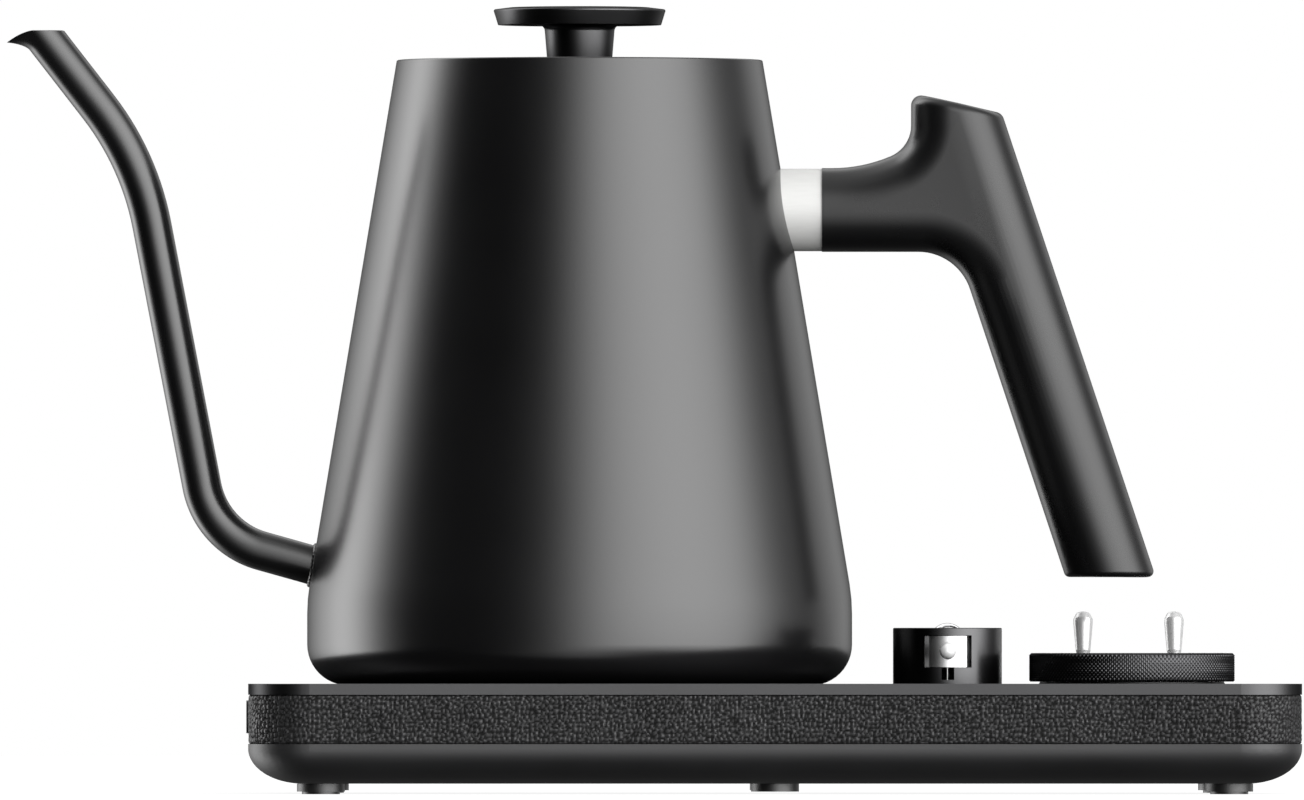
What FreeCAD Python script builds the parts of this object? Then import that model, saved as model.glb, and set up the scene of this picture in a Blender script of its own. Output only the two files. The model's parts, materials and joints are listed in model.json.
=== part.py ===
import FreeCAD, Part
import math
import os
import Sketcher
from FreeCAD import Placement, Rotation, Vector

# Gooseneck electric kettle on a long powered base. Millimetres, +Z up. The origin is on the table,
# under the middle of the whole object; the spout points to -X, the handle and the controls to +X,
# and the front of the base, with the dial and the start drum, is -Y.

DIMENSIONS = [
    # base
    ("base_length", 250.0, "base, end to end"),
    ("base_width", 144.0, "base, front to back"),
    ("base_x", 29.2, "middle of the base"),
    ("base_corner", 14.7, "radius of the base's upright corners"),
    ("tray_floor_z", 2.5, "underside of the tray"),
    ("tray_floor", 2.0, "thickness of the tray's floor"),
    ("tray_edge_run", 13.0, "how far the tray's lower edge rounds inward"),
    ("tray_edge_rise", 8.3, "how far the tray's lower edge rounds upward"),
    ("band_z", 11.9, "lower edge of the leatherette band"),
    ("plate_z", 23.6, "underside of the top plate"),
    ("plate_top", 26.2, "upper face of the top plate"),
    ("band_thickness", 1.0, "leatherette band"),
    ("tray_wall", 1.8, "tray's upstand behind the band"),
    ("lower_inset", 10.0, "inset of the tray's lower cavity"),
    ("boss_radius", 3.5, "screw bosses under the top plate"),
    ("boss_x", 95.0, "screw bosses from the middle of the base"),
    ("boss_y", 50.0, "screw bosses from the centre line"),
    ("boss_middle_y", 38.0, "the middle pair of bosses from the centre line"),
    ("foot_x", 107.8, "feet from the middle of the base"),
    ("foot_y", 52.0, "feet from the centre line"),
    ("foot_radius", 5.7, "collar of a foot"),
    ("foot_pad_radius", 4.52, "sole of a foot"),
    ("foot_pad_drop", 0.6, "sole below the collar"),
    ("foot_stem", 2.5, "stem of a foot in the tray"),
    # kettle body
    ("kettle_x", -17.3, "axis of the kettle"),
    ("body_radius", 65.1, "widest radius of the kettle"),
    ("rim_radius", 43.7, "radius at the rim"),
    ("rim_z", 175.2, "top of the rim"),
    ("shoulder_z", 46.5, "where the cone meets the straight foot"),
    ("body_z", 25.8, "underside of the kettle body"),
    ("body_edge", 9.8, "rounding of the body's lower edge"),
    ("body_wall", 0.9, "wall of the kettle body"),
    ("lip_radius", 52.0, "opening under the kettle body"),
    ("floor_z", 44.0, "underside of the water vessel's floor"),
    ("floor_thickness", 1.0, "water vessel's floor"),
    ("heater_radius", 44.0, "heater plate"),
    ("heater_thickness", 2.5, "heater plate"),
    ("element_radius", 36.0, "ring of the heating element"),
    ("element_tube", 3.2, "radius of the element's sheath"),
    ("probe_y", 52.0, "temperature probe from the kettle's axis"),
    # cordless coupler
    ("tower_radius", 16.0, "coupler tower"),
    ("tower_top", 36.0, "top of the coupler tower"),
    ("ring_outer", 9.6, "mean radius of the outer contact ring"),
    ("ring_inner", 5.6, "mean radius of the inner contact ring"),
    ("blade_half", 0.3, "half thickness of a contact ring"),
    ("slot_half", 0.7, "half width of a contact slot"),
    # spout
    ("spout_radius", 4.68, "outside radius of the spout tube"),
    ("spout_bore", 4.0, "bore of the spout tube"),
    ("spout_root_x", -78.0, "inner end of the spout"),
    ("spout_root_z", 53.65, "inner end of the spout"),
    ("spout_root_run", 15.9, "straight run from the body"),
    ("spout_root_rise", 15.7, "rise of that run, degrees"),
    ("spout_low_bend", 20.0, "lower bend radius"),
    ("spout_mid_run", 63.5, "straight run between the bends"),
    ("spout_mid_lean", 10.86, "lean of that run from upright, degrees"),
    ("spout_high_bend", 66.6, "upper bend radius"),
    ("spout_tip_run", 30.0, "straight run to past the mouth"),
    ("spout_tip_lean", 37.8, "lean of the last run, degrees"),
    ("mouth_z", 182.2, "level of the spout's mouth"),
    ("beak_x", -154.2, "tip of the pouring beak"),
    ("beak_z", 179.4, "tip of the pouring beak"),
    ("beak_half", 2.4, "half width of the beak"),
    # handle
    ("neck_z", 139.4, "axis of the handle's arm"),
    ("neck_radius", 9.85, "bright neck ring"),
    ("neck_bore", 8.6, "bore of the neck ring"),
    ("arm_x", 40.6, "joint between neck ring and grip"),
    ("arm_radius", 10.0, "half height of the arm"),
    ("grip_half", 10.2, "half thickness of the grip"),
    ("grip_round", 9.5, "rounding of the grip's long edges"),
    ("thumb_x", 61.9, "front of the thumb rest"),
    ("thumb_bend", 8.0, "small radius under the thumb rest"),
    ("arm_bend", 36.0, "large radius on top of the arm"),
    ("under_bend", 13.0, "radius under the arm"),
    ("blank_top", 168.2, "top of the grip before it is cut"),
    ("blank_foot", 45.0, "foot of the grip before it is cut"),
    ("back_top_x", 81.76, "back of the grip at the blank's top"),
    ("back_foot_x", 122.6, "back of the grip at the blank's foot"),
    ("inner_foot_x", 101.0, "inner side of the grip at the blank's foot"),
    ("grip_foot_z", 51.7, "foot of the grip"),
    ("stub_radius", 5.5, "bracket stub inside the arm"),
    ("stub_end", 66.0, "end of the bracket stub"),
    # lid
    ("collar_radius", 37.2, "bore of the lid's seat"),
    ("lid_radius", 42.3, "lid cover"),
    ("lid_z", 173.3, "underside of the lid cover"),
    ("lid_top", 174.9, "upper face of the lid cover"),
    ("skirt_radius", 36.6, "lid's skirt"),
    ("skirt_z", 158.0, "bottom of the lid's skirt"),
    ("knob_foot_radius", 7.75, "foot of the knob's stem"),
    ("knob_neck_radius", 8.45, "top of the knob's stem"),
    ("knob_radius", 20.65, "knob"),
    ("knob_under_radius", 19.5, "underside of the knob"),
    ("knob_under_z", 183.6, "underside of the knob"),
    ("knob_edge_z", 187.3, "upper edge of the knob"),
    ("knob_top", 188.05, "top of the knob"),
    # start drum and selector
    ("drum_x", 70.3, "axis of the start drum"),
    ("drum_y", -32.0, "axis of the start drum"),
    ("drum_radius", 12.95, "start drum"),
    ("drum_top", 39.5, "top of the start drum"),
    ("drum_bore", 11.6, "bore of the start drum"),
    ("drum_hole", 5.85, "hole in the plate under the start drum"),
    ("window_half", 5.65, "half width of the drum's window"),
    ("window_low", 30.05, "lower edge of the window"),
    ("window_high", 37.7, "upper edge of the window"),
    ("slot_low", 27.1, "lower edge of the slot under the window"),
    ("slot_side", 1.5, "half width of that slot"),
    ("hub_radius", 11.4, "selector hub, the bright core seen in the window"),
    ("stem_radius", 1.1, "selector stem"),
    ("button_radius", 2.95, "start button"),
    ("shank_radius", 0.6, "shank of the start button"),
    ("lever_z", 34.0, "selector lever"),
    ("lever_reach", 15.2, "selector lever's ball from the drum's axis"),
    ("ball_radius", 2.0, "ball of the selector lever"),
    # dial
    ("dial_x", 114.2, "axis of the dial"),
    ("dial_y", -32.0, "axis of the dial"),
    ("dial_radius", 24.45, "dial"),
    ("dial_z", 26.7, "underside of the dial"),
    ("dial_top", 33.5, "top of the dial"),
    ("dial_chamfer", 0.5, "bevel of the dial's edges"),
    ("pedestal_radius", 22.1, "ring under the dial"),
    ("spindle_radius", 3.0, "dial spindle"),
    # toggles
    ("toggle_y", 22.0, "toggle switches"),
    ("toggle_half_pitch", 10.9, "toggles from the dial's axis"),
    ("toggle_pivot_z", 28.0, "pivot of a toggle lever"),
    ("toggle_lean", 12.0, "lean of a toggle lever, degrees"),
    ("toggle_reach", 15.9, "toggle lever above its pivot"),
    ("bat_radius", 2.32, "widest radius of a toggle lever"),
    ("bushing_radius", 3.2, "threaded bushing of a toggle"),
    ("bushing_top", 32.8, "top of that bushing"),
    # cord inlet
    ("inlet_z", 18.3, "axis of the cord bushing"),
    ("inlet_bore", 3.1, "bore of the cord bushing"),
    ("inlet_sleeve", 3.6, "sleeve of the cord bushing"),
    ("inlet_proud", 1.07, "flange of the cord bushing outside the base"),
    ("inlet_height", 7.85, "height of that flange"),
    ("inlet_breadth", 11.0, "breadth of that flange"),
    # boards
    ("board_z", 7.0, "underside of the circuit boards"),
    ("board_thickness", 1.6, "circuit boards"),
]

SHEET = "Sizes"
TURNS = {
    "Z": Rotation(),
    "X": Rotation(Vector(0, 1, 0), 90),
    "-Y": Rotation(Vector(1, 0, 0), 90),
}
NEAR = 1e-3

doc = FreeCAD.newDocument("kettle")


class Size:
    """A size with its value in millimetres and the expression that gives it from the sheet."""

    def __init__(self, value, text):
        self.value = value
        self.text = text

    def __add__(self, other):
        return Size(self.value + number(other), f"({self.text} + {words(other)})")

    def __radd__(self, other):
        return Size(number(other) + self.value, f"({words(other)} + {self.text})")

    def __sub__(self, other):
        return Size(self.value - number(other), f"({self.text} - {words(other)})")

    def __rsub__(self, other):
        return Size(number(other) - self.value, f"({words(other)} - {self.text})")

    def __mul__(self, other):
        return Size(self.value * number(other), f"({self.text} * {words(other)})")

    def __rmul__(self, other):
        return self * other

    def __truediv__(self, other):
        return Size(self.value / number(other), f"({self.text} / {words(other)})")

    def __neg__(self):
        return Size(-self.value, f"(0 - {self.text})")


class Sheet:
    """The driving dimensions, each an attribute that is a Size."""

    def __init__(self):
        cells = doc.addObject("Spreadsheet::Sheet", SHEET)
        for row, (name, value, note) in enumerate(DIMENSIONS, start=1):
            cells.set(f"A{row}", name)
            cells.set(f"B{row}", str(value))
            cells.set(f"C{row}", note)
            cells.setAlias(f"B{row}", name)
            setattr(self, name, Size(value, f"{SHEET}.{name}"))
        doc.recompute()


def number(value):
    return value.value if isinstance(value, Size) else float(value)


def words(value):
    return value.text if isinstance(value, Size) else f"({value})"


def bind(thing, prop, value):
    """Gives a property its value, by expression where the value comes from the sheet."""
    if isinstance(value, Size):
        thing.setExpression(prop, value.text)
    else:
        setattr(thing, prop, value)


def place(thing, at, turn=None):
    """Puts an object at a point whose coordinates may come from the sheet."""
    thing.Placement = Placement(Vector(*[number(v) for v in at]), turn or Rotation())
    for side, value in zip("xyz", at):
        if isinstance(value, Size):
            thing.setExpression(f"Placement.Base.{side}", value.text)


# ---- Part primitives and booleans ----


def named(kind, label):
    thing = doc.addObject(kind, label)
    thing.Label = label
    return thing


def cylinder(label, radius, height, at, axis="Z"):
    thing = named("Part::Cylinder", label)
    bind(thing, "Radius", radius)
    bind(thing, "Height", height)
    place(thing, at, TURNS[axis])
    return thing


def cone(label, low_radius, high_radius, height, at, axis="Z"):
    thing = named("Part::Cone", label)
    bind(thing, "Radius1", low_radius)
    bind(thing, "Radius2", high_radius)
    bind(thing, "Height", height)
    place(thing, at, TURNS[axis])
    return thing


def ball(label, radius, at):
    thing = named("Part::Sphere", label)
    bind(thing, "Radius", radius)
    place(thing, at)
    return thing


def block(label, sides, middle, low_z):
    """A box centred over a point of the XY plane, standing on low_z."""
    thing = named("Part::Box", label)
    for prop, value in zip(("Length", "Width", "Height"), sides):
        bind(thing, prop, value)
    corner = (middle[0] - sides[0] / 2, middle[1] - sides[1] / 2, low_z)
    place(thing, corner)
    return thing


def nut(label, across_flats, height, at):
    thing = named("Part::Prism", label)
    thing.Polygon = 6
    thing.Circumradius = across_flats / math.sqrt(3)
    bind(thing, "Height", height)
    place(thing, at)
    return thing


def group(label, things):
    """Separate solids that share one node."""
    thing = named("Part::Compound", label)
    thing.Links = things
    return thing


def fuse(label, things):
    thing = named("Part::MultiFuse", label)
    thing.Shapes = things
    return thing


def cut(label, blank, tools):
    thing = named("Part::Cut", label)
    thing.Base = blank
    thing.Tool = tools[0] if len(tools) == 1 else group(label + "_tools", tools)
    return thing


def tube(label, outer, inner, height, at, axis="Z"):
    blank = cylinder(label + "_blank", outer, height, at, axis)
    bore = cylinder(label + "_bore", inner, height, at, axis)
    return cut(label, blank, [bore])


# ---- PartDesign bodies ----


def body_at(label, at=(0, 0, 0)):
    body = named("PartDesign::Body", label)
    place(body, at)
    return body


def origin_plane(body, role):
    return next(f for f in body.Origin.OriginFeatures if f.Role == role)


def sketch_on(body, role="XZ_Plane", lift=0):
    """A sketch on one of the body's own planes, lifted along the plane's normal."""
    sketch = body.newObject("Sketcher::SketchObject", body.Label + "_sketch")
    sketch.AttachmentSupport = [(origin_plane(body, role), "")]
    sketch.MapMode = "FlatFace"
    if isinstance(lift, Size) or lift:
        sketch.AttachmentOffset = Placement(Vector(0, 0, number(lift)), Rotation())
        if isinstance(lift, Size):
            sketch.setExpression("AttachmentOffset.Base.z", lift.text)
    return sketch


def dimension(sketch, kind, *where, value):
    """A dimensional constraint, bound to the sheet where its value comes from it."""
    index = sketch.addConstraint(Sketcher.Constraint(kind, *where, number(value)))
    if isinstance(value, Size):
        sketch.setExpression(f"Constraints[{index}]", value.text)


def pin_point(sketch, edge, end, at):
    """Fixes one end of an edge at a point, measured from the sketch's origin."""
    if number(at[0]) == 0:
        sketch.addConstraint(Sketcher.Constraint("PointOnObject", edge, end, -2))
    else:
        dimension(sketch, "DistanceX", -1, 1, edge, end, value=at[0])
    if number(at[1]) == 0:
        sketch.addConstraint(Sketcher.Constraint("PointOnObject", edge, end, -1))
    else:
        dimension(sketch, "DistanceY", -1, 1, edge, end, value=at[1])


def flat(at):
    return Vector(number(at[0]), number(at[1]), 0)


def polygon(sketch, corners):
    """A closed outline of straight edges through corners."""
    for here, there in zip(corners, corners[1:] + corners[:1]):
        sketch.addGeometry(Part.LineSegment(flat(here), flat(there)), False)
    count = len(corners)
    for i, corner in enumerate(corners):
        sketch.addConstraint(Sketcher.Constraint("Coincident", i, 2, (i + 1) % count, 1))
        pin_point(sketch, i, 1, corner)


def rounded_rectangle(sketch, half_length, half_width, radius):
    """A rectangle about the sketch's origin with four round corners."""
    corners = [(1, 1, 0), (-1, 1, 90), (-1, -1, 180), (1, -1, 270)]
    r = number(radius)
    cx, cy = number(half_length) - r, number(half_width) - r
    ends = []
    for sx, sy, start in corners:
        circle = Part.Circle(Vector(sx * cx, sy * cy, 0), Vector(0, 0, 1), r)
        arc = Part.ArcOfCircle(circle, math.radians(start), math.radians(start + 90))
        sketch.addGeometry(arc, False)
        ends.append((arc.StartPoint, arc.EndPoint))
    for i in range(4):
        sketch.addGeometry(Part.LineSegment(ends[i][1], ends[(i + 1) % 4][0]), False)
    for i, (sx, sy, _) in enumerate(corners):
        sketch.addConstraint(Sketcher.Constraint("Tangent", i, 2, 4 + i, 1))
        sketch.addConstraint(Sketcher.Constraint("Tangent", 4 + i, 2, (i + 1) % 4, 1))
        dimension(sketch, "Radius", i, value=radius)
        dimension(sketch, "DistanceX", -1, 1, i, 3, value=sx * (half_length - radius))
        dimension(sketch, "DistanceY", -1, 1, i, 3, value=sy * (half_width - radius))


def feature(body, kind, sketch, **settings):
    thing = body.newObject("PartDesign::" + kind, body.Label + "_" + kind.lower())
    thing.Profile = sketch
    for prop, value in settings.items():
        bind(thing, prop, value)
    body.Tip = thing
    return thing


def edges_where(thing, test):
    """Names of a feature's edges that pass a test."""
    return [f"Edge{i}" for i, e in enumerate(thing.Shape.Edges, start=1) if test(e)]


def round_edges(body, radius, test):
    """A fillet along every edge of the body's last feature that passes the test."""
    doc.recompute()
    last = body.Tip
    found = edges_where(last, test)
    if not found:
        raise RuntimeError(f"{body.Label}: no edge to round")
    thing = body.newObject("PartDesign::Fillet", body.Label + "_fillet")
    thing.Base = (last, found)
    bind(thing, "Radius", radius)
    body.Tip = thing
    return thing


def ring_edge(radius, z):
    """A test for a circular edge of that radius at that height."""

    def test(edge):
        curve = edge.Curve
        return (
            isinstance(curve, Part.Circle)
            and abs(curve.Radius - number(radius)) < NEAR
            and abs(curve.Center.z - number(z)) < NEAR
        )

    return test


def turned(label, profile, at=(0, 0, 0), rounds=()):
    """A body turned about its own Z axis from (radius, height) corners, with some edges rounded."""
    body = body_at(label, at)
    sketch = sketch_on(body)
    polygon(sketch, profile)
    axis = (sketch, ["V_Axis"])
    feature(body, "Revolution", sketch, ReferenceAxis=axis, Angle=360.0)
    for radius, corner in rounds:
        round_edges(body, radius, ring_edge(*corner))
    return body


def slab(label, half_length, half_width, radius, low_z, height, at=(0, 0)):
    """A plate with round upright corners."""
    body = body_at(label, (at[0], at[1], low_z))
    sketch = sketch_on(body, "XY_Plane")
    rounded_rectangle(sketch, half_length, half_width, radius)
    feature(body, "Pad", sketch, Length=height)
    return body


s = Sheet()
kettle_at = (s.kettle_x, 0)
wall_slope = (s.body_radius - s.rim_radius) / (s.rim_z - s.shoulder_z)


def wall_radius(z, inside=0):
    """Radius of the kettle's conical wall at a height, less a distance inside it."""
    return s.rim_radius - inside + (s.rim_z - z) * wall_slope


def at_kettle(z=0):
    return (s.kettle_x, 0, z)


# ---- base: tray, band, top plate, feet, screws ----


def inset_slab(label, inset, low_z, high_z):
    """A plate of the base's outline, drawn in by an inset."""
    return slab(
        label,
        s.base_length / 2 - inset,
        s.base_width / 2 - inset,
        s.base_corner - inset,
        low_z,
        high_z - low_z,
        (s.base_x, 0),
    )


def tray_points(dx, dy, columns=(-1, 0, 1)):
    """Places in a front and a rear row along the base."""
    return [(s.base_x + i * dx, j * dy) for j in (-1, 1) for i in columns]


def base_tray():
    """Moulded tray: elliptical lower edge, an upstand behind the band, two-step cavity."""
    steps = 6
    shell = body_at("tray_shell", (s.base_x, 0, 0))
    sections = []
    for step in range(steps + 1):
        turn = math.radians(90 * step / steps)
        inset = s.tray_edge_run * (1 - math.sin(turn))
        lift = s.tray_floor_z + s.tray_edge_rise * (1 - math.cos(turn))
        section = sketch_on(shell, "XY_Plane", lift)
        half_length, half_width = s.base_length / 2 - inset, s.base_width / 2 - inset
        rounded_rectangle(section, half_length, half_width, s.base_corner - inset)
        sections.append(section)
    loft = feature(shell, "AdditiveLoft", sections[0])
    loft.Sections = sections[1:]
    edge_top = s.tray_floor_z + s.tray_edge_rise
    solid = fuse(
        "tray_solid",
        [
            shell,
            inset_slab("tray_rim", 0, edge_top, s.band_z),
            inset_slab("tray_upstand", s.band_thickness, s.band_z, s.plate_z),
        ],
    )
    upper = inset_slab("tray_upper", s.band_thickness + s.tray_wall, s.band_z, s.plate_z)
    floor_top = s.tray_floor_z + s.tray_floor
    lower = inset_slab("tray_lower", s.lower_inset, floor_top, s.band_z)
    hollow = cut("tray_hollow", solid, [fuse("tray_cavity", [upper, lower])])
    posts = [
        cylinder(f"board_post_{i}", 3.0, s.board_z - floor_top, (x, y, floor_top))
        for i, (x, y) in enumerate(board_posts())
    ]
    posted = fuse("tray_posted", [hollow] + posts)
    holes = []
    for i, (x, y) in enumerate(tray_points(s.foot_x, s.foot_y)):
        holes.append(cylinder(f"foot_hole_{i}", s.foot_stem, 4.0, (x, y, s.tray_floor_z - 1)))
    for i, (x, y) in enumerate(screw_points()):
        holes.append(cylinder(f"screw_hole_{i}", 1.6, 4.0, (x, y, s.tray_floor_z - 1)))
        holes.append(cylinder(f"screw_seat_{i}", 3.0, 2.2, (x, y, s.tray_floor_z - 1)))
    for i, (x, y) in enumerate(board_posts()):
        holes.append(cylinder(f"post_hole_{i}", 0.95, 3.6, (x, y, s.board_z - 3.5)))
    end = s.base_x - s.base_length / 2
    holes.append(cylinder("inlet_hole", s.inlet_sleeve, 20.0, (end - 5, 0, s.inlet_z), "X"))
    return cut("base_tray", posted, holes)


def screw_points():
    """Where the tray is screwed to the top plate: its corners and beside its middle."""
    corners = tray_points(s.boss_x, s.boss_y, (-1, 1))
    return corners + [(s.base_x, side * s.boss_middle_y) for side in (-1, 1)]


def board_posts():
    """Where the boards are screwed to posts on the tray's floor."""
    power = [(x, y) for x in (-79.0, -46.0) for y in (-40.0, 40.0)]
    control = [(x, y) for x in (66.0, 138.0) for y in (-40.0, 40.0)]
    return power + control


def leatherette_band():
    """Band wrapped round the tray's upstand, with a hole for the cord bushing."""
    outer = inset_slab("band_outer", 0, s.band_z, s.plate_z)
    inner = inset_slab("band_inner", s.band_thickness, s.band_z, s.plate_z)
    end = s.base_x - s.base_length / 2
    hole = cylinder("band_hole", s.inlet_sleeve, 20.0, (end - 5, 0, s.inlet_z), "X")
    return cut("leatherette_band", outer, [fuse("band_tool", [inner, hole])])


def top_plate():
    """Metal plate with a shallow seat for the kettle, screw bosses and the controls' holes."""
    plate = inset_slab("plate_blank", 0, s.plate_z, s.plate_top)
    floor_top = s.tray_floor_z + s.tray_floor
    bosses = [
        cylinder(f"plate_boss_{i}", s.boss_radius, s.plate_z - floor_top, (x, y, floor_top))
        for i, (x, y) in enumerate(screw_points())
    ]
    blank = fuse("plate_bossed", [plate] + bosses)
    seat_depth = s.plate_top - s.body_z
    deep = s.plate_z - 1
    tools = [
        cylinder("plate_seat", s.body_radius - 5, seat_depth, at_kettle(s.body_z)),
        cylinder("plate_tower_hole", s.tower_radius + 0.1, 6.0, at_kettle(deep)),
        cylinder("plate_drum_hole", s.drum_hole, 6.0, (s.drum_x, s.drum_y, deep)),
        cylinder("plate_dial_hole", 3.6, 6.0, (s.dial_x, s.dial_y, deep)),
        cylinder("plate_lens_hole", 1.5, 6.0, (s.dial_x, s.toggle_y, deep)),
    ]
    for side in (-1, 1):
        x = s.dial_x + side * s.toggle_half_pitch
        tools.append(cylinder("plate_toggle_hole", s.bushing_radius, 6.0, (x, s.toggle_y, deep)))
    for x, y in screw_points():
        tools.append(cylinder("plate_thread", 1.3, 12.0, (x, y, floor_top)))
    whole = fuse("plate_tools", tools)
    return cut("top_plate", blank, [whole])


def feet():
    """Six stepped feet. The middle pair stands clear of the table by the height of a sole."""
    made = []
    names = ["front_left", "front_middle", "front_right", "rear_left", "rear_middle", "rear_right"]
    barb = s.foot_stem + 0.7
    floor_top = s.tray_floor_z + s.tray_floor
    for name, (x, y) in zip(names, tray_points(s.foot_x, s.foot_y)):
        profile = [(0, s.foot_pad_drop), (s.foot_radius, s.foot_pad_drop)]
        if "middle" not in name:
            sole = [(s.foot_pad_radius, 0), (s.foot_pad_radius, s.foot_pad_drop)]
            profile = [(0, 0)] + sole + profile[1:]
        profile += [(s.foot_radius, s.tray_floor_z), (s.foot_stem, s.tray_floor_z)]
        profile += [(s.foot_stem, floor_top), (barb, floor_top), (s.foot_stem, floor_top + 1.5)]
        profile += [(0, floor_top + 1.5)]
        made.append(turned("foot_" + name, profile, (x, y, 0)))
    return made


def tray_screws():
    """Pan-head screws up through the tray into the top plate's bosses."""
    seat = s.tray_floor_z + 1.2
    screws = []
    for i, (x, y) in enumerate(screw_points()):
        head = cylinder(f"tray_screw_head_{i}", 2.7, 1.1, (x, y, seat - 1.1))
        shank = cylinder(f"tray_screw_shank_{i}", 1.25, 11.0, (x, y, seat - 0.2))
        drive = block(f"tray_screw_drive_{i}", (3.2, 0.6, 0.5), (x, y), seat - 1.1)
        across = block(f"tray_screw_across_{i}", (0.6, 3.2, 0.5), (x, y), seat - 1.1)
        whole = fuse(f"tray_screw_blank_{i}", [head, shank])
        recess = fuse(f"tray_screw_recess_{i}", [drive, across])
        screws.append(cut(f"tray_screw_{i}", whole, [recess]))
    return group("tray_screws", screws)


# ---- cordless coupler, base and kettle halves ----


def coupler():
    """Round 360 degree coupler: a tower with ring slots, and a socket with ring blades."""
    deep = s.tower_top - 10.0
    blank = turned(
        "tower_blank",
        [
            (0, s.plate_z - 2.2),
            (s.tower_radius + 5, s.plate_z - 2.2),
            (s.tower_radius + 5, s.plate_z),
            (s.tower_radius, s.plate_z),
            (s.tower_radius, s.tower_top - 0.8),
            (s.tower_radius - 0.8, s.tower_top),
            (0, s.tower_top),
        ],
        at_kettle(),
    )
    slots = [cylinder("slot_centre", 2.5, 12.0, at_kettle(deep))]
    contacts = [cylinder("contact_centre", 2.2, 1.5, at_kettle(deep))]
    blades = [cylinder("blade_centre", 2.0, 8.4, at_kettle(s.tower_top + 0.6 - 8.4))]
    for name, mean in (("inner", s.ring_inner), ("outer", s.ring_outer)):
        wide, narrow = mean + s.slot_half, mean - s.slot_half
        slots.append(tube(f"slot_{name}", wide, narrow, 12.0, at_kettle(deep)))
        contacts.append(tube(f"contact_{name}", wide - 0.1, narrow + 0.1, 1.5, at_kettle(deep)))
        out, near = mean + s.blade_half, mean - s.blade_half
        low = at_kettle(s.tower_top + 0.6 - 8.0)
        blades.append(tube(f"blade_{name}", out, near, 8.0, low))
    tower = cut("coupler_tower", blank, slots)
    group("coupler_contacts", contacts)
    group("socket_blades", blades)
    ceiling = s.tower_top + 0.6
    turned(
        "socket_housing",
        [
            (0, ceiling),
            (s.tower_radius + 0.6, ceiling),
            (s.tower_radius + 0.6, s.body_z + 0.5),
            (s.tower_radius + 4, s.body_z + 0.5),
            (s.tower_radius + 4, ceiling + 2.6),
            (0, ceiling + 2.6),
        ],
        at_kettle(),
    )
    return tower


# ---- kettle ----


def kettle_body():
    """Spun steel shell: straight foot, cone, rolled-in lower lip, hole for the spout."""
    inner_edge = s.body_edge - s.body_wall
    inner_radius = s.body_radius - s.body_wall
    inner_foot = s.body_z + s.body_wall
    shell = turned(
        "body_shell",
        [
            (s.lip_radius, s.body_z),
            (s.body_radius, s.body_z),
            (s.body_radius, s.shoulder_z),
            (s.rim_radius, s.rim_z),
            (s.rim_radius - s.body_wall, s.rim_z),
            (inner_radius, s.shoulder_z),
            (inner_radius, inner_foot),
            (s.lip_radius, inner_foot),
        ],
        at_kettle(),
        [
            (s.body_edge, (s.body_radius, s.body_z)),
            (inner_edge, (inner_radius, inner_foot)),
            (s.body_edge * 4, (s.body_radius, s.shoulder_z)),
            (s.body_edge * 4, (inner_radius, s.shoulder_z)),
        ],
    )
    lean = Rotation(Vector(0, 1, 0), 90 + s.spout_root_rise.value)
    hole = cylinder("spout_hole", s.spout_radius, 20.0, (0, 0, 0))
    rise = math.radians(s.spout_root_rise.value)
    reach = 12.0
    start = (
        s.spout_root_x - reach * math.cos(rise),
        0,
        s.spout_root_z + reach * math.sin(rise),
    )
    place(hole, start, lean)
    return cut("kettle_body", shell, [hole])


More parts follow.
